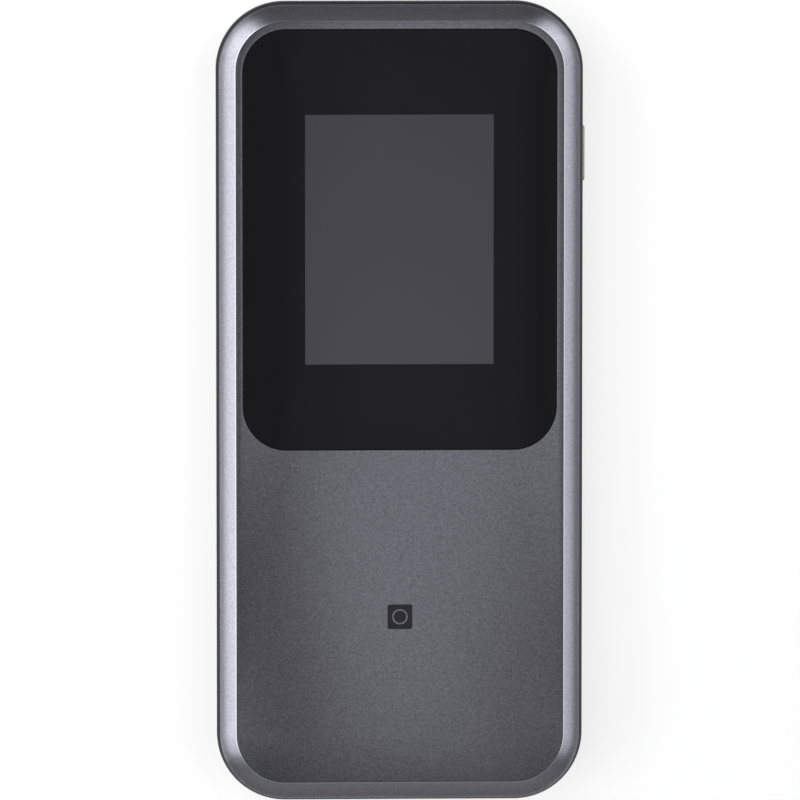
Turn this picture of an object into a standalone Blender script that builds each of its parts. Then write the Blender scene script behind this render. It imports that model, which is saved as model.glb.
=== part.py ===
"""Pocket 5G hotspot with a small display, modelled lying on its back.

Metres. +Z points out of the display and +Y towards the top of the display.
The origin is the centre of the flat rear face.
"""
import math

import bmesh
import bpy
from mathutils import Matrix, Vector

for leftover in list(bpy.data.objects):
    bpy.data.objects.remove(leftover, do_unlink=True)

# Clearances
SEAM = 0.0002               # open seam between pieces that lie side by side
SEAT = 0.0003               # between a piece and what it rests on or slips into
BOND = 0.00015              # under soldered, glued and screwed-down pieces
BITE = 0.0002               # how far features sink into the piece they grow from

# Facets and shading
CORNER_STEPS = 8            # round each corner of an outline
ROUND_STEPS = 12            # round a whole circle
EDGE_STEPS = 2              # round a small edge
BEND_STEPS = 4              # round the bend of a flex
BAND_STEPS = 4              # across the band, and again across its roll
SIDE_STEPS = 4              # down the frame's side
REAR_STEPS = 8              # round the rear cover
SHARP_ANGLE = 28.0          # degrees, from which an edge stays crisp
MERGE = 1e-7                # points closer than this are one

# Outline of the body, at its widest line
BODY_WIDTH = 0.0713
BODY_LENGTH = 0.1562
CORNER_RADIUS = 0.0133

# Frame: a sloped, slightly crowned band round the front, then the side
BAND_WIDTH = 0.00365        # from the widest line in to the front plate
BAND_SLOPE_INNER = 24.0     # degrees from flat, beside the plate
BAND_SLOPE_OUTER = 46.0     # degrees from flat, where the band rolls into the side
ROLL_RADIUS = 0.0017
EDGE_BREAK = 0.00025        # small bevel on the crest, beside the plate
SIDE_FLAT = 0.0010          # upright part of the side
FRAME_WALL = 0.0026
LEDGE_WIDTH = 0.0015        # shelf that carries the front plate
LUG_RADIUS = 0.0022
LUG_REACH = 0.0012          # from the shelf's edge in to the screw

# Rear cover: a clipped shell whose edge draws in as a quarter ellipse
REAR_ROUND = 0.0080
REAR_WALL = 0.0013
LIP_THICKNESS = 0.0010
LIP_RIM = 0.0002            # lip above its hooks
HOOK_LENGTH = 0.0060
HOOK_REACH = 0.0005
HOOK_HEIGHT = 0.0007
HOOK_CATCH = 0.0005         # frame's edge under each hook
HOOK_FROM_END = 0.0331      # from the ends to the outer hooks of the long sides
HOOK_END_OFFSET = 0.0140    # either side of the middle of the short sides

# Front plate and display window
PLATE_THICKNESS = 0.0024
PLATE_RECESS = 0.00025      # below the crest of the frame
PLATE_EDGE = 0.00012
PLATE_RIM = 0.0030
PLATE_HOLLOW = 0.0010       # depth of the cells moulded in its back
PLATE_RIB = 0.0012
PLATE_CELLS = 3
WINDOW_MARGIN = 0.00134     # from the frame's opening to the window
WINDOW_LENGTH = 0.0825
WINDOW_RADIUS = 0.0084
WINDOW_THICKNESS = 0.0009
WINDOW_RECESS = 0.0001
WINDOW_LEDGE = 0.0020
WINDOW_EDGE = 0.00015
GASKET_THICKNESS = 0.0003

# Display module: a 2.4 inch QVGA panel, centred behind the window
LCD_ACTIVE_WIDTH = 0.03672
LCD_ACTIVE_LENGTH = 0.04896
LCD_SIDE_BORDER = 0.0030
LCD_TOP_BORDER = 0.0022
LCD_DRIVER_LEDGE = 0.0093
LCD_THICKNESS = 0.0010
LCD_GASKET_GAP = 0.0006
LCD_GASKET_WIDTH = 0.0010
BACKLIGHT_THICKNESS = 0.0011
BACKLIGHT_SETBACK = 0.0042
LCD_FLEX_WIDTH = 0.0140
FLEX_THICKNESS = 0.0002
FLEX_BEND = 0.0009
LCD_CONNECTOR_LENGTH = 0.0035
LCD_CONNECTOR_HEIGHT = 0.0009

# Chassis and battery
CHASSIS_THICKNESS = 0.0009
BAY_FLOOR = 0.0008
BAY_WALL = 0.0010
BAY_SIDE_GAP = 0.0005       # from the frame's shelf to the bay
BAY_FLEX_GAP = 0.00558      # from the display flex's slot to the bay
BAY_FOOT = 0.0045           # height at which the bay's walls end, above the cover
BATTERY_THICKNESS = 0.0092
BATTERY_REAR_GAP = 0.0010   # room for the cell to swell
BATTERY_GAP = 0.0004
BATTERY_EDGE = 0.0012
BATTERY_BOARD_DEPTH = 0.0040
BATTERY_BOARD_MARGIN = 0.0080
BATTERY_CONNECTOR_WIDTH = 0.0080
BATTERY_CONNECTOR_DEPTH = 0.0040
BATTERY_CONNECTOR_HEIGHT = 0.0010
BATTERY_LEAD_WIDTH = 0.0060
TAPE_THICKNESS = 0.00025
TAPE_WIDTH = 0.0120
TAPE_INSET = 0.0060

# Boards
BOARD_THICKNESS = 0.0010
BOARD_STANDOFF = 0.0019     # from the chassis to the boards
BOARD_SIDE_GAP = 0.0015
BOARD_TOP_GAP = 0.0030
BOARD_SCREW_INSET = 0.0040
BOARD_SCREW_TOP = 0.0140    # from the board's top edge to its upper screws
BOARD_SCREW_BOTTOM = 0.0050
MIDDLE_SCREW_ROOM = 0.0035  # either side of the chassis screws at mid-length
SHIELD_HEIGHT = 0.0018
SHIELD_WALL = 0.0003
SHIELD_SCREW_GAP = 0.0020
SHIELD_TOP_MARGIN = 0.0070
SHIELD_UPPER_LENGTH = 0.0180
SHIELD_LOWER_LENGTH = 0.0280
SHIELD_ROW_GAP = 0.0030
SHIELD_SPLIT = 0.0040       # line between the Wi-Fi and the power shield
MODEM_CHIP_SIZE = 0.0140
WIFI_CHIP_SIZE = 0.0080
CHIP_HEIGHT = 0.0009
PAD_SIZE = 0.0200
PAD_THICKNESS = 0.0005
SPREADER_WIDTH = 0.0420
SPREADER_LENGTH = 0.0440
SPREADER_THICKNESS = 0.0004

# Screws
SHANK_RADIUS = 0.0007
HEAD_RADIUS = 0.0014
HEAD_HEIGHT = 0.0007
HEAD_BREAK = 0.0002         # bevel round the head
BOSS_RADIUS = 0.0021

# Power key and the side switches behind it and behind the reset pinhole
KEY_FROM_TOP = 0.0298       # from the top edge to the key's middle
KEY_LENGTH = 0.0108
KEY_HEIGHT = 0.0026
KEY_PROUD = 0.00042
KEY_CROWN = 0.0002          # rounding of its outer edge
KEY_FLANGE_RIM = 0.0004
KEY_FLANGE_THICKNESS = 0.0006
KEY_NUB_LENGTH = 0.0024
KEY_NUB_HEIGHT = 0.0012
KEY_NUB_REACH = 0.0003
KEY_TRAVEL = 0.00035
SWITCH_LENGTH = 0.0047
SWITCH_DEPTH = 0.0026
SWITCH_HEIGHT = 0.0015
PLUNGER_LENGTH = 0.0020
PLUNGER_HEIGHT = 0.0008
PLUNGER_PROUD = 0.0008
PLUNGER_TAIL = 0.0009
RESET_OFFSET = 0.0110       # from the middle of the port
RESET_HOLE_RADIUS = 0.0006
RESET_TIP_GAP = 0.0004
RESET_TRAVEL = 0.00025

# Nano-SIM tray in the left side
SIM_FROM_TOP = 0.0441       # from the top edge to the tray's middle
SIM_CARD_LENGTH = 0.0123
SIM_CARD_WIDTH = 0.0088
SIM_CARD_DEPTH = 0.0006
SIM_SEAT_EDGE = 0.0007
DRAWER_WALL = 0.0008
DRAWER_THICKNESS = 0.0008
DRAWER_REACH = 0.0162       # from the frame's inner wall to the drawer's end
DRAWER_OFFSET = 0.0014      # drawer's middle below the middle of its face
FACE_LENGTH = 0.0150
FACE_HEIGHT = 0.0022
FACE_DEPTH = 0.0015
PINHOLE_RADIUS = 0.0005
PINHOLE_INSET = 0.0018      # from the end of the tray's face
SOCKET_WALL = 0.0004
SOCKET_ROOF = 0.0002

# USB-C receptacle and its board in the bottom edge
USB_WIDTH = 0.00894
USB_HEIGHT = 0.00316
USB_LENGTH = 0.0073
USB_SHELL = 0.0003
USB_RECESS = 0.0005
USB_TONGUE_WIDTH = 0.00669
USB_TONGUE_THICKNESS = 0.0007
USB_TONGUE_LENGTH = 0.0045
USB_BODY_LENGTH = 0.0018
USB_BOARD_WIDTH = 0.0440
USB_BOARD_DEPTH = 0.0095
USB_BOARD_EDGE_GAP = 0.0009
USB_SCREW_OFFSET = 0.0170
LINK_WIDTH = 0.0014
LINK_OVERLAP = 0.0040
LINK_END = 0.0010           # from the nearest screw out to the end of the link
LINK_RISE = 0.00135         # from that screw up to the link's near edge

# Antennas: strips on the frame's inner wall
ANTENNA_THICKNESS = 0.0003
ANTENNA_LONG = 0.0400
ANTENNA_SHORT = 0.0120
ANTENNA_FROM_BOTTOM = 0.0431    # from the bottom edge to the middle of the side strips
ANTENNA_PORT_OFFSET = 0.0140    # from the port to the middle of the bottom strip

# Heights, stacked from the rear face up to the crest of the frame
battery_rear = REAR_WALL + BATTERY_REAR_GAP
battery_front = battery_rear + BATTERY_THICKNESS
bay_ceiling = battery_front + 2 * BOND + TAPE_THICKNESS
bay_front = bay_ceiling + BAY_FLOOR
plate_rear = bay_front + SEAT
plate_front = plate_rear + PLATE_THICKNESS
crest = plate_front + PLATE_RECESS

# Heights, from the window back down to the boards
window_front = plate_front - WINDOW_RECESS
window_rear = window_front - WINDOW_THICKNESS
pocket_floor = window_rear - GASKET_THICKNESS - 2 * BOND
lcd_front = pocket_floor
lcd_rear = lcd_front - LCD_THICKNESS
backlight_front = lcd_rear - BOND
backlight_rear = backlight_front - BACKLIGHT_THICKNESS
chassis_front = backlight_rear - SEAT
chassis_rear = chassis_front - CHASSIS_THICKNESS
ledge_top = plate_rear - SEAT
ledge_bottom = chassis_front + SEAT
board_front = chassis_rear - BOARD_STANDOFF
board_rear = board_front - BOARD_THICKNESS
port_axis = board_front + BOND + SWITCH_HEIGHT / 2

# Heights of the clips between the rear cover and the frame, down to the seam between them
lip_top = board_rear - 2 * BOND - FLEX_THICKNESS
hook_top = lip_top - LIP_RIM
hook_foot = hook_top - HOOK_HEIGHT
catch_top = hook_foot - SEAM
parting_height = catch_top - HOOK_CATCH

# Places in plan
half_width = BODY_WIDTH / 2
half_length = BODY_LENGTH / 2
inner_x = half_width - FRAME_WALL
inner_y = half_length - FRAME_WALL
ledge_inset = BAND_WIDTH + LEDGE_WIDTH
window_half_x = half_width - BAND_WIDTH - WINDOW_MARGIN
window_top = half_length - BAND_WIDTH - WINDOW_MARGIN
window_bottom = window_top - WINDOW_LENGTH
window_centre = (window_top + window_bottom) / 2
lcd_half_x = LCD_ACTIVE_WIDTH / 2 + LCD_SIDE_BORDER
lcd_top = window_centre + LCD_ACTIVE_LENGTH / 2 + LCD_TOP_BORDER
lcd_edge = window_centre - LCD_ACTIVE_LENGTH / 2 - LCD_DRIVER_LEDGE
flex_start = lcd_edge - SEAT
flex_slot_end = flex_start - 3 * FLEX_BEND
usb_board_bottom = -inner_y + USB_BOARD_EDGE_GAP
usb_board_top = usb_board_bottom + USB_BOARD_DEPTH
bay_half_x = half_width - ledge_inset - BAY_SIDE_GAP
bay_top = flex_slot_end - BAY_FLEX_GAP
bay_bottom = usb_board_top + SEAT
middle_screw_y = bay_top + MIDDLE_SCREW_ROOM
board_half_x = inner_x - BOARD_SIDE_GAP
board_top = inner_y - BOARD_TOP_GAP
board_bottom = middle_screw_y + MIDDLE_SCREW_ROOM
key_centre = half_length - KEY_FROM_TOP
sim_centre = half_length - SIM_FROM_TOP
side_antenna_y = -half_length + ANTENNA_FROM_BOTTOM

# Colour, roughness and metallic value of each finish
FINISHES = {
    "frame paint": ((0.230, 0.229, 0.245), 0.34, 0.75),
    "plate paint": ((0.120, 0.118, 0.132), 0.45, 0.35),
    "cover plastic": ((0.095, 0.094, 0.102), 0.50, 0.10),
    "black glass": ((0.010, 0.010, 0.012), 0.08, 0.00),
    "display": ((0.060, 0.059, 0.066), 0.25, 0.00),
    "light guide": ((0.800, 0.800, 0.790), 0.40, 0.00),
    "foam": ((0.015, 0.015, 0.015), 0.95, 0.00),
    "moulding": ((0.030, 0.030, 0.032), 0.60, 0.00),
    "circuit board": ((0.010, 0.060, 0.030), 0.50, 0.00),
    "flex circuit": ((0.300, 0.130, 0.020), 0.40, 0.00),
    "tinned steel": ((0.560, 0.550, 0.530), 0.35, 1.00),
    "steel": ((0.420, 0.420, 0.420), 0.30, 1.00),
    "chip": ((0.012, 0.012, 0.013), 0.55, 0.00),
    "silicone": ((0.250, 0.260, 0.290), 0.80, 0.00),
    "graphite": ((0.030, 0.030, 0.033), 0.45, 0.40),
    "cell wrap": ((0.020, 0.020, 0.022), 0.45, 0.10),
    "tape": ((0.700, 0.690, 0.640), 0.60, 0.00),
    "copper": ((0.720, 0.330, 0.180), 0.35, 1.00),
}


def mix(low, high, share):
    """Value part of the way from low to high."""
    return low + (high - low) * share


def outline(half_x, half_y, radius, centre=(0.0, 0.0)):
    """Points of a rounded rectangle, anticlockwise."""
    radius = min(radius, half_x, half_y)
    corners = ((1, 1), (-1, 1), (-1, -1), (1, -1))
    points = []
    for quarter, (sign_x, sign_y) in enumerate(corners):
        for step in range(CORNER_STEPS + 1):
            angle = math.pi / 2 * (quarter + step / CORNER_STEPS)
            x = centre[0] + sign_x * (half_x - radius) + radius * math.cos(angle)
            y = centre[1] + sign_y * (half_y - radius) + radius * math.sin(angle)
            points.append((x, y))
    return points


def skin(loops, joined=False):
    """Shape through a row of matching loops, with end caps or joined into a ring."""
    shape = bmesh.new()
    rows = [[shape.verts.new(point) for point in loop] for loop in loops]
    pairs = list(zip(rows, rows[1:]))
    if joined:
        pairs.append((rows[-1], rows[0]))
    else:
        shape.faces.new(rows[0][::-1])
        shape.faces.new(rows[-1])
    for low, high in pairs:
        for index in range(len(low)):
            after = (index + 1) % len(low)
            shape.faces.new((low[index], low[after], high[after], high[index]))
    return shape


def loft(half_x, half_y, radius, sections, centre=(0.0, 0.0), joined=False):
    """Rounded rectangle swept through (inset, height) sections."""
    loops = []
    for inset, height in sections:
        loop = outline(half_x - inset, half_y - inset, max(radius - inset, 0.0), centre)
        loops.append([(x, y, height) for x, y in loop])
    return skin(loops, joined)


def band_ring(half_x, half_y, radius, width, low, high, centre=(0.0, 0.0)):
    """Flat ring of the given width, such as a gasket or a tube wall."""
    sections = [(0.0, low), (0.0, high), (width, high), (width, low)]
    return loft(half_x, half_y, radius, sections, centre, joined=True)


def block(low, high):
    """Square-cornered block between two corners."""
    corners = [(low[0], low[1]), (high[0], low[1]), (high[0], high[1]), (low[0], high[1])]
    return skin([[(x, y, height) for x, y in corners] for height in (low[2], high[2])])


def slab(low, high, radius):
    """Block with its upright corners rounded."""
    centre = ((low[0] + high[0]) / 2, (low[1] + high[1]) / 2)
    half_x = (high[0] - low[0]) / 2
    half_y = (high[1] - low[1]) / 2
    return loft(half_x, half_y, radius, [(0.0, low[2]), (0.0, high[2])], centre)


def turned(stations, centre=(0.0, 0.0)):
    """Round solid through (radius, height) stations."""
    angles = [2 * math.pi * step / ROUND_STEPS for step in range(ROUND_STEPS)]
    loops = []
    for radius, height in stations:
        loop = []
        for angle in angles:
            x = centre[0] + radius * math.cos(angle)
            y = centre[1] + radius * math.sin(angle)
            loop.append((x, y, height))
        loops.append(loop)
    return skin(loops)


def pin(radius, low, high, centre):
    """Upright cylinder."""
    return turned([(radius, low), (radius, high)], centre)


def round_edge(radius):
    """(inset, drop) pairs round an outer edge, from the side to the face."""
    angles = [math.pi / 2 * step / EDGE_STEPS for step in range(EDGE_STEPS + 1)]
    return [(radius * (1 - math.cos(angle)), radius * (1 - math.sin(angle))) for angle in angles]


def along_x(shape, y, z):
    """Turn a shape built along +Z to run along +X, its width along Y."""
    turn = Matrix(((0, 0, 1, 0), (1, 0, 0, y), (0, 1, 0, z), (0, 0, 0, 1)))
    shape.transform(turn)
    return shape


def along_y(shape, x, z):
    """Turn a shape built along +Z to run along +Y, its width along X."""
    turn = Matrix(((-1, 0, 0, x), (0, 0, 1, 0), (0, 1, 0, z), (0, 0, 0, 1)))
    shape.transform(turn)
    return shape


def to_object(name, shape):
    """Closed mesh object from a shape, with its faces pointing out."""
    bmesh.ops.remove_doubles(shape, verts=shape.verts, dist=MERGE)
    bmesh.ops.dissolve_degenerate(shape, edges=shape.edges, dist=MERGE)
    bmesh.ops.recalc_face_normals(shape, faces=shape.faces)
    mesh = bpy.data.meshes.new(name)
    shape.to_mesh(mesh)
    shape.free()
    body = bpy.data.objects.new(name, mesh)
    bpy.context.collection.objects.link(body)
    return body


def piece(name, shape, finish):
    """Named sub-part with its own material."""
    body = to_object(name, shape)
    colour, roughness, metallic = FINISHES[finish]
    material = bpy.data.materials.new(name)
    material.use_nodes = True
    surface = material.node_tree.nodes["Principled BSDF"]
    surface.inputs["Base Color"].default_value = (*colour, 1.0)
    surface.inputs["Roughness"].default_value = roughness
    surface.inputs["Metallic"].default_value = metallic
    body.data.materials.append(material)
    return body


def combine(body, shape, operation):
    """Add a shape to a body, cut it away, or keep only what both share."""
    tool = to_object("tool", shape)
    change = body.modifiers.new(operation, "BOOLEAN")
    change.operation = operation
    change.solver = "EXACT"
    change.object = tool
    changed = body.evaluated_get(bpy.context.evaluated_depsgraph_get())
    before = body.data
    body.data = bpy.data.meshes.new_from_object(changed)
    body.data.name = body.name
    body.modifiers.clear()
    bpy.data.meshes.remove(before)
    bpy.data.objects.remove(tool)


def add(body, shape):
    combine(body, shape, "UNION")


def cut(body, shape):
    combine(body, shape, "DIFFERENCE")


def move_origin(body, point):
    """Put a moving piece's origin on its joint's axis."""
    body.data.transform(Matrix.Translation(-Vector(point)))
    body.location = point


def side_bar(side, section, middle, length):
    """Bar with an (inset, height) section, lying along one side of the body."""
    loops = []
    for place in (middle - length / 2, middle + length / 2):
        loop = []
        for inset, height in section:
            x = half_width - inset
            y = half_length - inset
            spot = {
                "right": (x, place, height),
                "left": (-x, place, height),
                "top": (place, y, height),
                "bottom": (place, -y, height),
            }[side]
            loop.append(spot)
        loops.append(loop)
    return skin(loops)


def band_sections():
    """Band and roll from the crest out to the widest line."""
    inner = math.radians(BAND_SLOPE_INNER)
    outer = math.radians(BAND_SLOPE_OUTER)
    start = BAND_WIDTH - EDGE_BREAK
    run = start - ROLL_RADIUS * (1 - math.sin(outer))
    radius = run / (math.sin(outer) - math.sin(inner))
    sections = []
    for step in range(BAND_STEPS + 1):
        slope = mix(inner, outer, step / BAND_STEPS)
        inset = start - radius * (math.sin(slope) - math.sin(inner))
        sections.append((inset, crest - radius * (math.cos(inner) - math.cos(slope))))
    shoulder = sections[-1][1]
    for step in range(1, BAND_STEPS + 1):
        slope = mix(outer, math.pi / 2, step / BAND_STEPS)
        drop = ROLL_RADIUS * (math.cos(outer) - math.cos(slope))
        sections.append((ROLL_RADIUS * (1 - math.sin(slope)), shoulder - drop))
    return sections


side_foot = band_sections()[-1][1] - SIDE_FLAT


def back_angle(height):
    """Angle round the rear ellipse at a height: 0 at the side, a right angle at the back."""
    return math.asin((side_foot - height) / side_foot)


def back_section(angle, depth=0.0):
    """Point on the rear ellipse, or below its surface by a depth."""
    inset = REAR_ROUND * (1 - math.cos(angle))
    height = side_foot * (1 - math.sin(angle))
    normal = Vector((math.cos(angle) / REAR_ROUND, math.sin(angle) / side_foot)).normalized()
    return (inset + depth * normal.x, height + depth * normal.y)


def back_inset(height):
    """How far the side has drawn in at a height."""
    return back_section(back_angle(height))[0]


def back_run(start, end, steps, depth=0.0):
    """Sections round the rear ellipse from one angle to another."""
    return [back_section(mix(start, end, step / steps), depth) for step in range(steps + 1)]


def whole_outside():
    """Closed form of the body's outer surface."""
    sections = back_run(math.pi / 2, 0.0, REAR_STEPS) + band_sections()[::-1]
    return loft(half_width, half_length, CORNER_RADIUS, sections)


def chassis_screw_places():
    """Screws into the frame's lugs: one at each corner and one at each side."""
    corner_x = half_width - CORNER_RADIUS
    corner_y = half_length - CORNER_RADIUS
    reach = (CORNER_RADIUS - ledge_inset - LUG_REACH) / math.sqrt(2)
    side_x = half_width - ledge_inset - LUG_REACH
    places = []
    for sign in (-1, 1):
        places.append((sign * (corner_x + reach), corner_y + reach))
        places.append((sign * side_x, middle_screw_y))
        places.append((sign * (corner_x + reach), -corner_y - reach))
    return places


def board_screw_places():
    x = board_half_x - BOARD_SCREW_INSET
    rows = (board_top - BOARD_SCREW_TOP, board_bottom + BOARD_SCREW_BOTTOM)
    return [(sign * x, y) for sign in (-1, 1) for y in rows]


def usb_screw_places():
    middle = (usb_board_top + usb_board_bottom) / 2
    return [(sign * USB_SCREW_OFFSET, middle) for sign in (-1, 1)]


def hook_places():
    """Side and middle of every clip between the rear cover and the frame."""
    outer = half_length - HOOK_FROM_END
    places = [(side, step * outer) for side in ("left", "right") for step in (-1, 0, 1)]
    places += [(side, sign * HOOK_END_OFFSET) for side in ("top", "bottom") for sign in (-1, 1)]
    return places


# Openings in the sides, each as a shape that cuts the frame
def key_slot():
    slot = loft(
        KEY_LENGTH / 2 + SEAM,
        KEY_HEIGHT / 2 + SEAM,
        KEY_HEIGHT / 2 + SEAM,
        [(0.0, inner_x - BITE), (0.0, half_width + KEY_PROUD)],
    )
    return along_x(slot, key_centre, port_axis)


def tray_face(clearance, inner, outer):
    """Pill-shaped face of the SIM tray, or with a clearance the pocket it sits in."""
    face = loft(
        FACE_LENGTH / 2 + clearance,
        FACE_HEIGHT / 2 + clearance,
        FACE_HEIGHT / 2 + clearance,
        [(0.0, -outer), (0.0, -inner)],
    )
    return along_x(face, sim_centre, port_axis)


def tray_drawer(clearance, inner, outer):
    """Flat drawer behind the face, or with a clearance the slot it runs in."""
    middle = sim_centre - DRAWER_OFFSET
    half_y = SIM_CARD_WIDTH / 2 + SEAM + DRAWER_WALL + clearance
    half_z = DRAWER_THICKNESS / 2 + clearance
    low = (-outer, middle - half_y, port_axis - half_z)
    return block(low, (-inner, middle + half_y, port_axis + half_z))


def eject_hole(radius, inner):
    passage = turned([(radius, -half_width - BITE), (radius, -inner)])
    return along_x(passage, sim_centre + FACE_LENGTH / 2 - PINHOLE_INSET, port_axis)


def port_opening():
    opening = loft(
        USB_WIDTH / 2 + SEAT,
        USB_HEIGHT / 2 + SEAT,
        USB_HEIGHT / 2 + SEAT,
        [(0.0, -half_length - BITE), (0.0, -inner_y + USB_BOARD_EDGE_GAP)],
    )
    return along_y(opening, 0.0, port_axis)


def reset_hole():
    passage = turned([(RESET_HOLE_RADIUS, -half_length - BITE), (RESET_HOLE_RADIUS, -inner_y + BITE)])
    return along_y(passage, RESET_OFFSET, port_axis)


# Frame: one moulded ring with a metallic paint, which everything else fastens to
def build_frame():
    sections = band_sections() + back_run(0.0, back_angle(parting_height), SIDE_STEPS)
    sections += [
        (FRAME_WALL, parting_height),
        (FRAME_WALL, ledge_bottom),
        (ledge_inset, ledge_bottom),
        (ledge_inset, ledge_top),
        (BAND_WIDTH, ledge_top),
        (BAND_WIDTH, crest - EDGE_BREAK),
    ]
    ring = loft(half_width, half_length, CORNER_RADIUS, sections, joined=True)
    frame = piece("mid_frame", ring, "frame paint")
    for place in chassis_screw_places():
        add(frame, pin(LUG_RADIUS, ledge_bottom + BITE / 2, ledge_top - BITE / 2, place))
        cut(frame, pin(SHANK_RADIUS + BOND, ledge_bottom - BITE, ledge_top + BITE, place))
    groove = [
        (FRAME_WALL + BITE, catch_top),
        (FRAME_WALL - HOOK_REACH, catch_top),
        (FRAME_WALL - HOOK_REACH, lip_top),
        (FRAME_WALL + BITE, lip_top),
    ]
    for side, middle in hook_places():
        cut(frame, side_bar(side, groove, middle, HOOK_LENGTH + 2 * SEAT))
    cut(frame, key_slot())
    cut(frame, tray_face(SEAM, half_width - FACE_DEPTH - SEAM, half_width + BITE))
    cut(frame, tray_drawer(SEAM, inner_x - BITE, half_width - FACE_DEPTH))
    cut(frame, eject_hole(PINHOLE_RADIUS + SEAM, inner_x - BITE))
    cut(frame, port_opening())
    cut(frame, reset_hole())


# Rear cover: shell with a lip that slips inside the frame and clips there
def build_rear_cover():
    lip_outer = FRAME_WALL + SEAM
    lip_inner = lip_outer + LIP_THICKNESS
    rim = parting_height - SEAM
    sections = back_run(math.pi / 2, back_angle(rim), REAR_STEPS)
    sections += [(lip_outer, rim), (lip_outer, lip_top), (lip_inner, lip_top), (lip_inner, rim - REAR_WALL)]
    hollow = back_run(back_angle(rim), math.pi / 2, REAR_STEPS, REAR_WALL)
    sections += [(inset, height) for inset, height in hollow if inset > lip_inner + BITE]
    cover = piece("rear_cover", loft(half_width, half_length, CORNER_RADIUS, sections), "cover plastic")
    hook = [
        (lip_outer + BITE, hook_foot),
        (lip_outer - HOOK_REACH, hook_foot),
        (lip_outer - HOOK_REACH, (hook_foot + hook_top) / 2),
        (lip_outer + BITE, hook_top),
    ]
    for side, middle in hook_places():
        add(cover, side_bar(side, hook, middle, HOOK_LENGTH))


# Front plate: painted panel with the window's pocket, room for the display module behind it,
# and cells moulded in its back
def build_front_plate():
    half_x = half_width - BAND_WIDTH - SEAM
    half_y = half_length - BAND_WIDTH - SEAM
    radius = CORNER_RADIUS - BAND_WIDTH - SEAM
    sections = [(0.0, plate_rear), (0.0, plate_front - PLATE_EDGE), (PLATE_EDGE, plate_front)]
    plate = piece("front_plate", loft(half_x, half_y, radius, sections), "plate paint")
    centre = (0.0, window_centre)
    above = plate_front + BITE
    pocket = [
        (0.0, pocket_floor),
        (0.0, plate_front - PLATE_EDGE),
        (-PLATE_EDGE, plate_front),
        (-PLATE_EDGE, above),
    ]
    pocket_x = window_half_x + SEAM
    pocket_y = WINDOW_LENGTH / 2 + SEAM
    cut(plate, loft(pocket_x, pocket_y, WINDOW_RADIUS + SEAM, pocket, centre))
    through = [(WINDOW_LEDGE, plate_rear - BITE), (WINDOW_LEDGE, above)]
    cut(plate, loft(window_half_x, WINDOW_LENGTH / 2, WINDOW_RADIUS, through, centre))
    module_low = (-lcd_half_x - SEAT, flex_slot_end, plate_rear - BITE)
    cut(plate, block(module_low, (lcd_half_x + SEAT, lcd_top + SEAT, lcd_front)))
    cell_x = half_x - PLATE_RIM
    field_low = -half_y + PLATE_RIM
    field_high = window_bottom - SEAM - PLATE_RIM
    cell = (field_high - field_low - PLATE_RIB * (PLATE_CELLS - 1)) / PLATE_CELLS
    for index in range(PLATE_CELLS):
        low = field_low + index * (cell + PLATE_RIB)
        hollow = slab(
            (-cell_x, low, plate_rear - BITE),
            (cell_x, low + cell, plate_rear + PLATE_HOLLOW),
            radius - PLATE_RIM,
        )
        cut(plate, hollow)


# Window, the gaskets that bond it, and the display module behind it
def build_display():
    centre = (0.0, window_centre)
    sections = [
        (WINDOW_EDGE, window_rear),
        (0.0, window_rear + WINDOW_EDGE),
        (0.0, window_front - WINDOW_EDGE),
        (WINDOW_EDGE, window_front),
    ]
    lens = loft(window_half_x, WINDOW_LENGTH / 2, WINDOW_RADIUS, sections, centre)
    piece("display_window", lens, "black glass")
    gasket = band_ring(
        window_half_x - SEAT,
        WINDOW_LENGTH / 2 - SEAT,
        WINDOW_RADIUS - SEAT,
        WINDOW_LEDGE - 2 * SEAT,
        pocket_floor + BOND,
        window_rear - BOND,
        centre,
    )
    piece("window_gasket", gasket, "foam")

    active_x = LCD_ACTIVE_WIDTH / 2
    active_y = LCD_ACTIVE_LENGTH / 2
    around = LCD_GASKET_GAP + LCD_GASKET_WIDTH
    lcd_gasket = band_ring(
        active_x + around,
        active_y + around,
        LCD_GASKET_WIDTH,
        LCD_GASKET_WIDTH,
        lcd_front + BOND,
        window_rear - BOND,
        centre,
    )
    piece("lcd_gasket", lcd_gasket, "foam")
    panel = block((-lcd_half_x, lcd_edge, lcd_rear), (lcd_half_x, lcd_top, lcd_front))
    piece("lcd_panel", panel, "display")
    guide_low = (-lcd_half_x, lcd_edge + BACKLIGHT_SETBACK, backlight_rear)
    piece("lcd_backlight", block(guide_low, (lcd_half_x, lcd_top, backlight_front)), "light guide")


def build_lcd_flex():
    """Ribbon from the panel's edge down through the chassis to its connector."""
    connector_top = board_front + BOND + LCD_CONNECTOR_HEIGHT
    turn = flex_start - FLEX_BEND
    upper = (lcd_front + lcd_rear) / 2
    lower = connector_top + BOND + FLEX_THICKNESS / 2
    angles = [math.pi / 2 * step / BEND_STEPS for step in range(BEND_STEPS + 1)]
    path = [(flex_start, upper)]
    for angle in angles:
        path.append((turn - FLEX_BEND * math.sin(angle), upper - FLEX_BEND * (1 - math.cos(angle))))
    for angle in angles:
        path.append((turn - FLEX_BEND * math.cos(angle), lower + FLEX_BEND * (1 - math.sin(angle))))
    connector_y = lcd_edge + FLEX_BEND
    path.append((connector_y + LCD_CONNECTOR_LENGTH, lower))
    piece("lcd_flex", ribbon(path, LCD_FLEX_WIDTH), "flex circuit")
    socket = block(
        (-LCD_FLEX_WIDTH / 2, connector_y, board_front + BOND),
        (LCD_FLEX_WIDTH / 2, connector_y + LCD_CONNECTOR_LENGTH, connector_top),
    )
    piece("lcd_connector", socket, "moulding")


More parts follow.
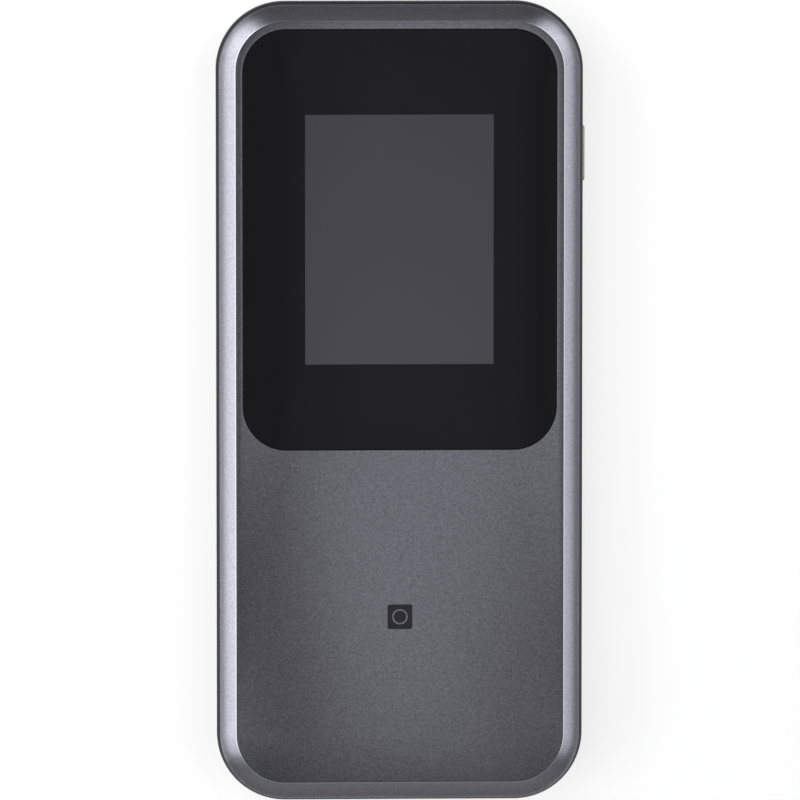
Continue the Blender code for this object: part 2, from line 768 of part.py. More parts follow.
def ribbon(path, width):
    """Flat flex of FLEX_THICKNESS along a path of (y, z) points, across X."""
    points = [Vector(point) for point in path]
    left = []
    right = []
    for index, point in enumerate(points):
        before = points[max(index - 1, 0)]
        after = points[min(index + 1, len(points) - 1)]
        direction = (after - before).normalized()
        aside = Vector((-direction.y, direction.x)) * FLEX_THICKNESS / 2
        left.append(point + aside)
        right.append(point - aside)
    section = left + right[::-1]
    return skin([[(x, p.x, p.y) for p in section] for x in (-width / 2, width / 2)])


# Chassis: moulded plate screwed to the frame's lugs, with the battery bay
def build_chassis():
    half_x = inner_x - SEAT
    half_y = inner_y - SEAT
    radius = CORNER_RADIUS - FRAME_WALL - SEAT
    plate = loft(half_x, half_y, radius, [(0.0, chassis_rear), (0.0, chassis_front)])
    chassis = piece("chassis", plate, "moulding")
    add(chassis, block((-bay_half_x, bay_bottom, BAY_FOOT), (bay_half_x, bay_top, bay_front)))
    cavity_x = bay_half_x - BAY_WALL
    cavity_low = (-cavity_x, bay_bottom + BAY_WALL, BAY_FOOT - BITE)
    cut(chassis, block(cavity_low, (cavity_x, bay_top - BAY_WALL, bay_ceiling)))
    for place in board_screw_places() + usb_screw_places():
        add(chassis, pin(BOSS_RADIUS, board_front + SEAT, chassis_rear + BITE, place))
        cut(chassis, pin(SHANK_RADIUS + BOND, board_front, chassis_front + BITE, place))
    for place in chassis_screw_places():
        cut(chassis, pin(SHANK_RADIUS + BOND, chassis_rear - BITE, chassis_front + BITE, place))

    lead_half = BATTERY_LEAD_WIDTH / 2 + SEAT
    lead_gap_low = (-lead_half, bay_top - BAY_WALL - BITE, BAY_FOOT - BITE)
    cut(chassis, block(lead_gap_low, (lead_half, bay_top + BITE, board_rear)))
    flex_half = LCD_FLEX_WIDTH / 2 + SEAT
    slot_low = (-flex_half, flex_slot_end, chassis_rear - BITE)
    cut(chassis, block(slot_low, (flex_half, flex_start, chassis_front + BITE)))
    port_half = USB_WIDTH / 2 + SEAT
    port_end = port_mouth() + USB_LENGTH + SEAT
    port_low = (-port_half, -half_length, chassis_rear - BITE)
    cut(chassis, block(port_low, (port_half, port_end, chassis_front + BITE)))
    key_half = KEY_LENGTH / 2 + KEY_FLANGE_RIM + SEAT
    key_low = (key_inner() - KEY_TRAVEL - SEAT, key_centre - key_half, chassis_rear - BITE)
    cut(chassis, block(key_low, (half_width, key_centre + key_half, chassis_front + BITE)))


def port_mouth():
    """Place of the receptacle's mouth along Y, just inside the bottom edge."""
    return -half_length + back_inset(port_axis) + USB_RECESS


def key_inner():
    """Inner face of the power key's flange at rest."""
    return inner_x - SEAT - KEY_FLANGE_THICKNESS


# Main board: hangs from the chassis bosses, shields on its rear side
def build_main_board():
    low = (-board_half_x, board_bottom, board_rear)
    high = (board_half_x, board_top, board_front)
    radius = CORNER_RADIUS - FRAME_WALL - BOARD_SIDE_GAP
    board = piece("main_board", slab(low, high, radius), "circuit board")
    for place in board_screw_places():
        cut(board, pin(SHANK_RADIUS + BOND, board_rear - BITE, board_front + BITE, place))

    field_x = board_half_x - BOARD_SCREW_INSET - HEAD_RADIUS - SHIELD_SCREW_GAP
    upper_top = board_top - SHIELD_TOP_MARGIN
    upper_bottom = upper_top - SHIELD_UPPER_LENGTH
    lower_top = upper_bottom - SHIELD_ROW_GAP
    lower_bottom = lower_top - SHIELD_LOWER_LENGTH
    half_gap = SHIELD_ROW_GAP / 2
    shield("modem_shield", (-field_x, lower_bottom), (field_x, lower_top))
    shield("wifi_shield", (-field_x, upper_bottom), (SHIELD_SPLIT - half_gap, upper_top))
    shield("power_shield", (SHIELD_SPLIT + half_gap, upper_bottom), (field_x, upper_top))
    modem = (0.0, (lower_bottom + lower_top) / 2)
    wifi = ((SHIELD_SPLIT - half_gap - field_x) / 2, (upper_bottom + upper_top) / 2)
    chip_front = board_rear - BOND
    plate_below("modem_chip", modem, MODEM_CHIP_SIZE, MODEM_CHIP_SIZE, chip_front, CHIP_HEIGHT, "chip")
    plate_below("wifi_chip", wifi, WIFI_CHIP_SIZE, WIFI_CHIP_SIZE, chip_front, CHIP_HEIGHT, "chip")
    pad_front = chip_front - SHIELD_HEIGHT - BOND
    plate_below("thermal_pad", modem, PAD_SIZE, PAD_SIZE, pad_front, PAD_THICKNESS, "silicone")
    front = pad_front - PAD_THICKNESS - BOND
    size = (SPREADER_WIDTH, SPREADER_LENGTH)
    plate_below("heat_spreader", modem, *size, front, SPREADER_THICKNESS, "graphite")


def shield(name, low, high):
    """Stamped can, open towards the board."""
    front = board_rear - BOND
    rear = front - SHIELD_HEIGHT
    can = piece(name, block((*low, rear), (*high, front)), "tinned steel")
    inner_low = (low[0] + SHIELD_WALL, low[1] + SHIELD_WALL, rear + SHIELD_WALL)
    inner_high = (high[0] - SHIELD_WALL, high[1] - SHIELD_WALL, front + BITE)
    cut(can, block(inner_low, inner_high))


def plate_below(name, centre, width, length, front, thickness, finish):
    """Flat rectangular piece hung rearwards from a height."""
    low = (centre[0] - width / 2, centre[1] - length / 2, front - thickness)
    high = (centre[0] + width / 2, centre[1] + length / 2, front)
    piece(name, block(low, high), finish)


# Battery pack, taped into the chassis bay, with its protection board and lead
def build_battery():
    half_x = bay_half_x - BAY_WALL - BATTERY_GAP
    low = bay_bottom + BAY_WALL + BATTERY_GAP
    pack_top = bay_top - BAY_WALL - BATTERY_GAP
    top = pack_top - BATTERY_BOARD_DEPTH - SEAT
    edge = round_edge(BATTERY_EDGE)
    sections = [(inset, battery_rear + drop) for inset, drop in edge[::-1]]
    sections += [(inset, battery_front - drop) for inset, drop in edge]
    cell = loft(half_x, (top - low) / 2, 2 * BATTERY_EDGE, sections, (0.0, (top + low) / 2))
    piece("battery_cell", cell, "cell wrap")
    for sign, name in ((-1, "battery_tape_left"), (1, "battery_tape_right")):
        middle = (sign * (half_x - TAPE_INSET - TAPE_WIDTH / 2), (top + low) / 2)
        length = top - low - 2 * TAPE_INSET
        plate_below(name, middle, TAPE_WIDTH, length, bay_ceiling - BOND, TAPE_THICKNESS, "tape")

    board_x = half_x - BATTERY_BOARD_MARGIN
    plug_front = board_rear - BOND
    plug_rear = plug_front - BATTERY_CONNECTOR_HEIGHT
    guard = block((-board_x, top + SEAT, plug_rear), (board_x, pack_top, plug_front))
    piece("battery_board", guard, "circuit board")
    plug_half = BATTERY_CONNECTOR_WIDTH / 2
    plug_end = board_bottom + BATTERY_CONNECTOR_DEPTH
    plug = block((-plug_half, board_bottom, plug_rear), (plug_half, plug_end, plug_front))
    piece("battery_connector", plug, "moulding")
    lead_front = plug_rear - BOND
    lead_half = BATTERY_LEAD_WIDTH / 2
    lead = block((-lead_half, top + SEAT, lead_front - FLEX_THICKNESS), (lead_half, plug_end, lead_front))
    piece("battery_lead", lead, "flex circuit")


# USB-C receptacle sunk in its own small board
def build_usb():
    mouth = port_mouth()
    back = mouth + USB_LENGTH
    round_end = USB_HEIGHT / 2
    shell = band_ring(USB_WIDTH / 2, USB_HEIGHT / 2, round_end, USB_SHELL, mouth, back)
    piece("usb_shell", along_y(shell, 0.0, port_axis), "steel")
    inside = USB_SHELL + BOND
    body = loft(
        USB_WIDTH / 2 - inside,
        USB_HEIGHT / 2 - inside,
        round_end - inside,
        [(0.0, back - USB_BODY_LENGTH), (0.0, back)],
    )
    tongue = piece("usb_tongue", along_y(body, 0.0, port_axis), "moulding")
    half_x = USB_TONGUE_WIDTH / 2
    half_z = USB_TONGUE_THICKNESS / 2
    root = back - USB_BODY_LENGTH
    blade = block(
        (-half_x, root - USB_TONGUE_LENGTH, port_axis - half_z),
        (half_x, root + BITE, port_axis + half_z),
    )
    add(tongue, blade)

    half_board = USB_BOARD_WIDTH / 2
    low = (-half_board, usb_board_bottom, board_rear)
    board = piece("usb_board", block(low, (half_board, usb_board_top, board_front)), "circuit board")
    notch = USB_WIDTH / 2 + SEAT
    notch_low = (-notch, usb_board_bottom - BITE, board_rear - BITE)
    cut(board, block(notch_low, (notch, back + SEAT, board_front + BITE)))
    for place in usb_screw_places():
        cut(board, pin(SHANK_RADIUS + BOND, board_rear - BITE, board_front + BITE, place))

    link_front = board_rear - BOND
    link_rear = link_front - FLEX_THICKNESS
    leg_inner = -bay_half_x - SEAT
    leg_outer = leg_inner - LINK_WIDTH
    screw_x, screw_y = usb_screw_places()[0]
    foot = screw_y + LINK_RISE + LINK_WIDTH
    leg_top = board_bottom + LINK_OVERLAP
    link = block((leg_outer, foot, link_rear), (leg_inner, leg_top, link_front))
    link_flex = piece("board_link_flex", link, "flex circuit")
    arm_low = (leg_outer, foot - LINK_WIDTH, link_rear)
    add(link_flex, block(arm_low, (screw_x - LINK_END, foot + BITE, link_front)))


# Side switches: a soldered body and a plunger that slides in it
def build_switch(body_name, plunger_name, travel, turn):
    body = block(
        (-SWITCH_DEPTH, -SWITCH_LENGTH / 2, -SWITCH_HEIGHT / 2),
        (0.0, SWITCH_LENGTH / 2, SWITCH_HEIGHT / 2),
    )
    body.transform(turn)
    housing = piece(body_name, body, "tinned steel")
    half_y = PLUNGER_LENGTH / 2
    half_z = PLUNGER_HEIGHT / 2
    pocket = block(
        (-PLUNGER_TAIL - travel - SEAT, -half_y - BOND, -half_z - BOND),
        (BITE, half_y + BOND, half_z + BOND),
    )
    pocket.transform(turn)
    cut(housing, pocket)
    plunger = block((-PLUNGER_TAIL, -half_y, -half_z), (PLUNGER_PROUD, half_y, half_z))
    plunger.transform(turn)
    button = piece(plunger_name, plunger, "moulding")
    move_origin(button, turn.translation)


# Power key: a pill through the frame's side, held in by a flange behind the wall
def build_key_and_switches():
    outer = half_width + KEY_PROUD
    half_y = KEY_LENGTH / 2
    half_z = KEY_HEIGHT / 2
    inner = key_inner()
    sections = [(0.0, inner + BITE)]
    sections += [(inset, outer - drop) for inset, drop in round_edge(KEY_CROWN)]
    pill = loft(half_y, half_z, half_z, sections)
    key = piece("power_key", along_x(pill, key_centre, port_axis), "frame paint")
    rim = KEY_FLANGE_RIM
    thickness = [(0.0, inner), (0.0, inner + KEY_FLANGE_THICKNESS)]
    flange = loft(half_y + rim, half_z + rim, half_z + rim, thickness)
    add(key, along_x(flange, key_centre, port_axis))
    nub_end = inner - KEY_NUB_REACH
    nub = block(
        (nub_end, key_centre - KEY_NUB_LENGTH / 2, port_axis - KEY_NUB_HEIGHT / 2),
        (inner + BITE, key_centre + KEY_NUB_LENGTH / 2, port_axis + KEY_NUB_HEIGHT / 2),
    )
    add(key, nub)
    move_origin(key, (inner, key_centre, port_axis))

    face = nub_end - SEAT - PLUNGER_PROUD
    facing_right = Matrix.Translation((face, key_centre, port_axis))
    build_switch("power_switch_body", "power_switch_plunger", KEY_TRAVEL, facing_right)
    reset_face = -inner_y + RESET_TIP_GAP + PLUNGER_PROUD
    facing_down = Matrix.Translation((RESET_OFFSET, reset_face, port_axis))
    facing_down = facing_down @ Matrix.Rotation(-math.pi / 2, 4, "Z")
    build_switch("reset_switch_body", "reset_plunger", RESET_TRAVEL, facing_down)


# SIM tray, flush with the left side, and the socket on the board that it runs in
def build_sim():
    tray = piece("sim_tray", tray_face(0.0, half_width - FACE_DEPTH, half_width + BITE), "frame paint")
    combine(tray, whole_outside(), "INTERSECT")
    end = inner_x - DRAWER_REACH
    add(tray, tray_drawer(0.0, end, half_width - FACE_DEPTH + BITE))
    middle = sim_centre - DRAWER_OFFSET
    half_card = SIM_CARD_WIDTH / 2 + SEAM
    card_inner = -end - DRAWER_WALL
    card_outer = card_inner - SIM_CARD_LENGTH - 2 * SEAM
    drawer_top = port_axis + DRAWER_THICKNESS / 2
    recess_low = (card_outer, middle - half_card, drawer_top - SIM_CARD_DEPTH)
    cut(tray, block(recess_low, (card_inner, middle + half_card, drawer_top + BITE)))
    half_opening = half_card - SIM_SEAT_EDGE
    opening_low = (card_outer + SIM_SEAT_EDGE, middle - half_opening, port_axis - DRAWER_THICKNESS)
    cut(tray, block(opening_low, (card_inner - SIM_SEAT_EDGE, middle + half_opening, drawer_top)))
    cut(tray, eject_hole(PINHOLE_RADIUS, half_width - 2 * FACE_DEPTH))
    move_origin(tray, (-half_width, middle, port_axis))

    mouth = board_half_x - SEAT
    slot_end = end - SEAT
    socket_half = half_card + DRAWER_WALL + SEAM + SOCKET_WALL
    socket_low = (-mouth, middle - socket_half, board_front + BOND)
    socket_high = (-slot_end + SOCKET_WALL, middle + socket_half, drawer_top + SEAM + SOCKET_ROOF)
    socket = piece("sim_socket", block(socket_low, socket_high), "tinned steel")
    cut(socket, tray_drawer(SEAM, slot_end, mouth + BITE))


# Antennas: copper strips bonded to the frame's inner wall
def build_antennas():
    inner = FRAME_WALL + BOND
    low = lip_top + SEAT
    high = chassis_rear - SEAT
    strip = [
        (inner, low),
        (inner + ANTENNA_THICKNESS, low),
        (inner + ANTENNA_THICKNESS, high),
        (inner, high),
    ]
    places = (
        ("top", 0.0, ANTENNA_LONG),
        ("left", side_antenna_y, ANTENNA_LONG),
        ("right", side_antenna_y, ANTENNA_LONG),
        ("bottom", -ANTENNA_PORT_OFFSET, ANTENNA_SHORT),
    )
    for side, middle, length in places:
        piece("antenna_" + side, side_bar(side, strip, middle, length), "copper")


# Screws: all enter from the rear, heads towards the rear cover
def build_screws():
    for index, place in enumerate(chassis_screw_places(), start=1):
        screw("chassis_screw_%d" % index, place, chassis_rear, ledge_top - SEAT)
    for index, place in enumerate(board_screw_places(), start=1):
        screw("board_screw_%d" % index, place, board_rear, chassis_front - SEAT)
    for index, place in enumerate(usb_screw_places(), start=1):
        screw("usb_board_screw_%d" % index, place, board_rear, chassis_front - SEAT)


def screw(name, place, bearing, tip):
    seat = bearing - BOND
    stations = [
        (HEAD_RADIUS - HEAD_BREAK, seat - HEAD_HEIGHT),
        (HEAD_RADIUS, seat - HEAD_HEIGHT + HEAD_BREAK),
        (HEAD_RADIUS, seat),
        (SHANK_RADIUS, seat),
        (SHANK_RADIUS, tip - SHANK_RADIUS / 2),
        (SHANK_RADIUS / 2, tip),
    ]
    piece(name, turned(stations, place), "steel")


build_frame()
build_rear_cover()
build_front_plate()
build_display()
build_lcd_flex()
build_chassis()
build_main_board()
build_battery()
build_usb()
build_key_and_switches()
build_sim()
build_antennas()
build_screws()

for body in bpy.data.objects:
    body.data.shade_smooth()
    body.data.set_sharp_from_angle(angle=math.radians(SHARP_ANGLE))
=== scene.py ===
"""Looks of a pocket 5G hotspot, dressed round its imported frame. Metres, lying on its back."""
import math

import bmesh
import bpy
from mathutils import Matrix, Vector


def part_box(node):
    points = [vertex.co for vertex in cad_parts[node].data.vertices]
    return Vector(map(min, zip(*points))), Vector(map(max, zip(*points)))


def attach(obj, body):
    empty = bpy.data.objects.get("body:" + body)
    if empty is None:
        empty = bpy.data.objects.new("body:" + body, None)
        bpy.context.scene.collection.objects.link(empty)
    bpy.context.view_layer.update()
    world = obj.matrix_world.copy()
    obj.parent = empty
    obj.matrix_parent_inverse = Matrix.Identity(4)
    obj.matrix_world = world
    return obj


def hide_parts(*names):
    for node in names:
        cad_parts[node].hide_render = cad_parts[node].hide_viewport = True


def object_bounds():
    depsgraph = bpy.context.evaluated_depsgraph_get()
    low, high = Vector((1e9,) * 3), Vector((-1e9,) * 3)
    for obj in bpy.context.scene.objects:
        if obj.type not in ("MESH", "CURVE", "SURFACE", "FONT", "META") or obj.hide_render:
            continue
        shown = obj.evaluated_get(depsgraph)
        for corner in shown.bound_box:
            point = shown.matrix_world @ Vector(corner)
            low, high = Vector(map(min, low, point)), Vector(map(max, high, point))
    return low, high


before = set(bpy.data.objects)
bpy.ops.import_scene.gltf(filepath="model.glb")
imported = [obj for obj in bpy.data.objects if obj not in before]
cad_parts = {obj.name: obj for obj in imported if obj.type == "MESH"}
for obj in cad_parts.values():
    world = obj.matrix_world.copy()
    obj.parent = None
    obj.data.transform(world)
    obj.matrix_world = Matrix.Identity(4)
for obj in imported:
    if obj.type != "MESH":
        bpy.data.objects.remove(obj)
cad_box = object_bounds()


# Frame: the moulded ring that everything else fastens to. The sloped band round its front has a
# bright metallic paint, masked where it turns into the side, which stays bare dark plastic. That dark
# side is partly a guess at its own colour and partly painted shade: its top, and the paint's fade into
# it, make a dark rim along the outline that stands in for the dark reflection there. Openings in that
# side let the key, the SIM tray and the port out, and a pin in to the reset switch.
CORNER_RADIUS = 0.0133
CORNER_STEPS = 40
SMALL_CORNER = 0.002            # up to which a corner takes fewer steps
SMALL_CORNER_STEPS = 16
FULL_ROUND = 0.98               # of half a slot's width, for the corners of a round-ended slot
BAND_WIDTH = 0.00365            # from the widest line in to the front plate
BAND_SLOPE_INNER = math.radians(24.0)
BAND_SLOPE_OUTER = math.radians(46.0)
BAND_STEPS = 14
CUT_WIDTH = 0.00017             # bright-cut edge along the crest
CUT_SLOPE = math.radians(21.0)
CREST_ROUND = 0.00002
CREST_STEPS = 6
ROLL_RADIUS = 0.0017
SIDE_FLAT = 0.0010
REAR_ROUND = 0.0080
SIDE_STEPS = 12
FRAME_WALL = 0.0026
LEDGE_WIDTH = 0.0015
LEDGE_DROP = 0.0003             # of the ledge's top below the plate
SEAM = 0.0002                   # open seam round pieces that come out through the side
PLATE_SEAM = 0.00004            # glued seam round the plate and the window
KEY_FLANGE_RIM = 0.0004
KEY_CORNER = 0.0007
PORT_CLEARANCE = 0.0003
RESET_HOLE_RADIUS = 0.0006
MOUTH_FLARE = 0.00012           # broken edge round each opening
PAINT_AND_SHADE_FADE = 0.00028            # height over which the paint fades into painted shade at its masked edge
MASK_AND_SHADE_DROP = 0.0002              # by which the mask and its painted shade lie lower along the bottom edge
PAINT_DARK = (0.370, 0.368, 0.424)
PAINT_BRIGHT = (0.500, 0.497, 0.570)
PAINT_ROUGHNESS = 0.30
FLAKE_SCALE = 5200.0            # in a metre, like every scale of a pattern
FLAKE_CONTRAST = 0.9
CLOUD_SCALE = 2200.0
CLOUD_CONTRAST = 1.3
CLOUD_ROUGHNESS = 0.10
PEEL_SCALE = 900.0
PEEL_DEPTH = 0.000002
MOULDING_DARK = (0.013, 0.013, 0.014)
MOULDING_LIGHT = (0.021, 0.021, 0.022)
MOULDING_ROUGHNESS = 0.52
SIDE_DARK = (0.028, 0.028, 0.031)
SIDE_LIGHT = (0.043, 0.043, 0.047)
SIDE_ROUGHNESS = 0.50
PLASTIC_GLOSS = 0.2
GRAIN_SCALE = 5200.0
GRAIN_SHARE = 0.6
GRAIN_ROUGHNESS = 0.16
GRAIN_DEPTH = 0.000006
FLOW_SCALE = 160.0              # of the broad tones that the plastic's flow leaves
CUT_DARK = (0.54, 0.54, 0.61)
CUT_BRIGHT = (0.64, 0.64, 0.72)
CUT_ROUGHNESS = 0.22
MARK_SCALE = 700.0
MARK_ROUGHNESS = 0.2
SHARP_ANGLE = math.radians(32.0)
MERGE = 1e-7

frame_low, frame_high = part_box("mid_frame")
plate_low, plate_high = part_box("front_plate")
half_width = frame_high.x
half_length = frame_high.y
crest = frame_high.z
parting = frame_low.z
ledge_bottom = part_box("lcd_backlight")[0].z
ledge_top = plate_low.z - LEDGE_DROP
ledge_inset = BAND_WIDTH + LEDGE_WIDTH
crest_inset = half_width - plate_high.x - PLATE_SEAM


class Wire:
    """A socket in a node tree. Operators on it add Math nodes, and add() adds any other node."""

    def __init__(self, tree, socket):
        self.tree = tree
        self.socket = socket

    def add(self, kind, settings=None, sockets=None):
        """New node of a kind: its settings first, then its sockets, by identifier."""
        node = self.tree.nodes.new(kind)
        for name, value in (settings or {}).items():
            setattr(node, name, value)
        self.feed(node, sockets or {})
        return {socket.identifier: Wire(self.tree, socket) for socket in node.outputs}

    def feed(self, node, sockets):
        """Link or set a node's sockets."""
        inputs = {socket.identifier: socket for socket in node.inputs}
        for name, value in sockets.items():
            if isinstance(value, Wire):
                self.tree.links.new(value.socket, inputs[name])
            elif inputs[name].type == "RGBA":
                inputs[name].default_value = (*value, 1.0)
            else:
                inputs[name].default_value = value

    def surface(self, sockets):
        """Link or set the sockets of the material's shader."""
        self.feed(self.tree.nodes["Principled BSDF"], sockets)

    def maths(self, operation, first, second):
        """Result of a Math node."""
        values = {"Value": first, "Value_001": second}
        return self.add("ShaderNodeMath", {"operation": operation}, values)["Value"]

    def __add__(self, other):
        return self.maths("ADD", self, other)

    def __radd__(self, other):
        return self.maths("ADD", other, self)

    def __sub__(self, other):
        return self.maths("SUBTRACT", self, other)

    def __rsub__(self, other):
        return self.maths("SUBTRACT", other, self)

    def __mul__(self, other):
        return self.maths("MULTIPLY", self, other)

    def __rmul__(self, other):
        return self.maths("MULTIPLY", other, self)

    def __pow__(self, other):
        return self.maths("POWER", self, other)

    def ramp(self, low, high):
        """0 up to low, 1 from high, smooth between."""
        sockets = {"Value": self, "From Min": low, "From Max": high}
        return self.add("ShaderNodeMapRange", {"interpolation_type": "SMOOTHSTEP"}, sockets)["Result"]

    def blend(self, first, second):
        """Colour from first, where this value is 0, to second, where it is 1."""
        sockets = {"Factor_Float": self, "A_Color": first, "B_Color": second}
        return self.add("ShaderNodeMix", {"data_type": "RGBA"}, sockets)["Result_Color"]

    def noise(self, scale, detail=2.0):
        """Smooth noise over these coordinates."""
        sockets = {"Vector": self, "Scale": scale, "Detail": detail}
        return self.add("ShaderNodeTexNoise", None, sockets)["Fac"]

    def cells(self, scale):
        """One random value for each small cell over these coordinates."""
        sockets = {"Vector": self, "Scale": scale}
        colour = self.add("ShaderNodeTexVoronoi", None, sockets)["Color"]
        return self.add("ShaderNodeSeparateColor", None, {"Color": colour})["Red"]

    def parts(self):
        """X, Y and Z of these coordinates."""
        return self.add("ShaderNodeSeparateXYZ", None, {"Vector": self})

    def bump(self, height, depth):
        """Normal of a surface raised by a height of 0 to 1, times a depth in metres."""
        return self.add("ShaderNodeBump", None, {"Height": height, "Distance": depth})["Normal"]


def new_finish(name):
    """Material, and the Wire of its Object coordinates."""
    material = bpy.data.materials.new(name)
    material.use_nodes = True
    coordinates = material.node_tree.nodes.new("ShaderNodeTexCoord")
    return material, Wire(material.node_tree, coordinates.outputs["Object"])


def metallic_paint(name, dark, bright, metallic, roughness, edge=None):
    """Sprayed paint with fine metal flake, which fades over an edge's heights into a painted dark rim."""
    material, place = new_finish(name)
    flake = place.cells(FLAKE_SCALE) - 0.5
    cloud = place.noise(CLOUD_SCALE) - 0.5
    peel = place.noise(PEEL_SCALE)
    colour = (0.5 + flake * FLAKE_CONTRAST + cloud * CLOUD_CONTRAST).blend(dark, bright)
    # Painted shade: below the edge the paint fades into the dark moulding, lower along the bottom edge,
    # standing in for the dark reflection along the outline.
    if edge:
        parts = place.parts()
        drop = parts["Y"].ramp(CORNER_RADIUS - half_length, -half_length) * MASK_AND_SHADE_DROP
        paint = (parts["Z"] + drop).ramp(*edge)
        colour = paint.blend(MOULDING_DARK, colour)
        metallic = paint * metallic
    place.surface({
        "Base Color": colour,
        "Metallic": metallic,
        "Roughness": roughness + cloud * CLOUD_ROUGHNESS,
        "Normal": place.bump(peel, PEEL_DEPTH),
    })
    return material


def moulded_plastic(name, dark, light, roughness, shade=None):
    """Injection-moulded plastic with a fine spark-eroded texture, and painted shade that darkens it
    upwards over a shade's heights.
    """
    material, place = new_finish(name)
    grain = place.noise(GRAIN_SCALE, detail=3.0)
    flow = place.noise(FLOW_SCALE)
    colour = (grain * GRAIN_SHARE + flow * (1 - GRAIN_SHARE)).blend(dark, light)
    if shade:
        # Painted shade: darker towards the top of the side, standing in for the dark reflection along the
        # outline.
        colour = place.parts()["Z"].ramp(*shade).blend(colour, MOULDING_DARK)
    place.surface({
        "Base Color": colour,
        "Roughness": roughness + (grain - 0.5) * GRAIN_ROUGHNESS,
        "Specular IOR Level": PLASTIC_GLOSS,
        "Normal": place.bump(grain, GRAIN_DEPTH),
    })
    return material


def bare_metal(name, dark, bright, roughness):
    """Bare metal with faint drawing marks."""
    material, place = new_finish(name)
    marks = place.noise(MARK_SCALE, detail=4.0)
    place.surface({
        "Base Color": marks.blend(dark, bright),
        "Metallic": 1.0,
        "Roughness": roughness + (marks - 0.5) * MARK_ROUGHNESS,
    })
    return material


def new_tree(name, kinds):
    """Geometry node tree, the identifiers of its inputs of the given kinds, and their Wires."""
    tree = bpy.data.node_groups.new(name, "GeometryNodeTree")
    names = {}
    for label, kind in kinds.items():
        socket = tree.interface.new_socket(label, in_out="INPUT", socket_type="NodeSocket" + kind)
        names[label] = socket.identifier
    tree.interface.new_socket("Piece", in_out="OUTPUT", socket_type="NodeSocketGeometry")
    given = {out.name: Wire(tree, out) for out in tree.nodes.new("NodeGroupInput").outputs}
    return tree, names, given


def end_tree(tree, piece, material):
    """End a tree with its piece as one real mesh in its material."""
    mesh = piece.add("GeometryNodeRealizeInstances", None, {"Geometry": piece})["Geometry"]
    finish = {"Geometry": mesh, "Material": material}
    mesh = piece.add("GeometryNodeSetMaterial", None, finish)["Geometry"]
    tree.links.new(mesh.socket, tree.nodes.new("NodeGroupOutput").inputs[0])


def sweep_tree():
    """Nodes that sweep an object's own line of points round a rounded rectangle."""
    kinds = {"Line": "Geometry", "Width": "Float", "Length": "Float", "Corner": "Float"}
    kinds.update({"Corner Steps": "Int", "Finish": "Material"})
    tree, names, given = new_tree("swept_round", kinds)
    line = given["Line"]
    sides = {"Width": given["Width"], "Height": given["Length"]}
    path = line.add("GeometryNodeCurvePrimitiveQuadrilateral", None, sides)["Curve"]
    corner = {"Curve": path, "Count": given["Corner Steps"], "Radius": given["Corner"]}
    path = line.add("GeometryNodeFilletCurve", {"mode": "POLY"}, corner)["Curve"]
    path = line.add("GeometryNodeSetCurveNormal", {"mode": "Z_UP"}, {"Curve": path})["Curve"]
    profile = line.add("GeometryNodeMeshToCurve", None, {"Mesh": line})["Curve"]
    sweep = {"Curve": path, "Profile Curve": profile}
    skin = line.add("GeometryNodeCurveToMesh", None, sweep)["Mesh"]
    end_tree(tree, skin, given["Finish"])
    return tree, names


SWEEP, SWEEP_NAMES = sweep_tree()


def evaluated_mesh(body):
    """Plain mesh of an object with its modifiers applied."""
    return bpy.data.meshes.new_from_object(body.evaluated_get(bpy.context.evaluated_depsgraph_get()))


def grown(holder, tree, names, values):
    """Plain mesh of what a tree makes of an object, which is then removed."""
    nodes = holder.modifiers.new("nodes", "NODES")
    nodes.node_group = tree
    for name, value in values.items():
        nodes[names[name]] = value
    mesh = evaluated_mesh(holder)
    bpy.data.objects.remove(holder)
    return mesh


def swept(line, half_x, half_y, corner, material, closed=False):
    """Shape of a line of (inset, height) points swept round a rounded rectangle."""
    mesh = bpy.data.meshes.new("line")
    edges = [(index, index + 1) for index in range(len(line) - 1)]
    if closed:
        edges.append((len(line) - 1, 0))
    mesh.from_pydata([(-inset, -height, 0.0) for inset, height in line], edges, [])
    holder = bpy.data.objects.new("line", mesh)
    bpy.context.scene.collection.objects.link(holder)
    values = {
        "Width": 2 * half_x,
        "Length": 2 * half_y,
        "Corner": min(corner, FULL_ROUND * half_x, FULL_ROUND * half_y),
        "Corner Steps": CORNER_STEPS if corner > SMALL_CORNER else SMALL_CORNER_STEPS,
        "Finish": material,
    }
    shape = bmesh.new()
    shape.from_mesh(grown(holder, SWEEP, SWEEP_NAMES, values))
    bmesh.ops.remove_doubles(shape, verts=shape.verts, dist=MERGE)
    return shape


def closed_ends(shape):
    """Close every open end of a swept shape with flat triangles."""
    rims = [edge for edge in shape.edges if edge.is_boundary]
    ends = bmesh.ops.holes_fill(shape, edges=rims, sides=0)["faces"]
    bmesh.ops.triangulate(shape, faces=ends)
    return shape


def to_object(name, shape, *materials):
    """Mesh object at the origin, with its faces pointing out."""
    shape.normal_update()
    bmesh.ops.recalc_face_normals(shape, faces=shape.faces)
    mesh = bpy.data.meshes.new(name)
    shape.to_mesh(mesh)
    shape.free()
    for material in materials:
        mesh.materials.append(material)
    body = bpy.data.objects.new(name, mesh)
    bpy.context.scene.collection.objects.link(body)
    return body


def cut(body, shape):
    """Cut a shape out of a body."""
    tool = to_object("cutter", shape)
    change = body.modifiers.new("cut", "BOOLEAN")
    change.operation = "DIFFERENCE"
    change.solver = "EXACT"
    change.object = tool
    body.data = evaluated_mesh(body)
    body.modifiers.clear()
    bpy.data.objects.remove(tool)


def install(piece, body, slot, *nodes):
    """Shade a finished piece, and let it ride on its body in place of its nodes."""
    piece.data.shade_smooth()
    piece.data.set_sharp_from_angle(angle=SHARP_ANGLE)
    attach(piece, body)
    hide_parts(*nodes)


def arc(centre, radius, start, end, steps):
    """(inset, height) points round an arc, its angles from straight up and outwards."""
    inset, height = centre
    angles = [start + (end - start) * step / steps for step in range(steps + 1)]
    return [(inset - radius * math.sin(angle), height + radius * math.cos(angle)) for angle in angles]


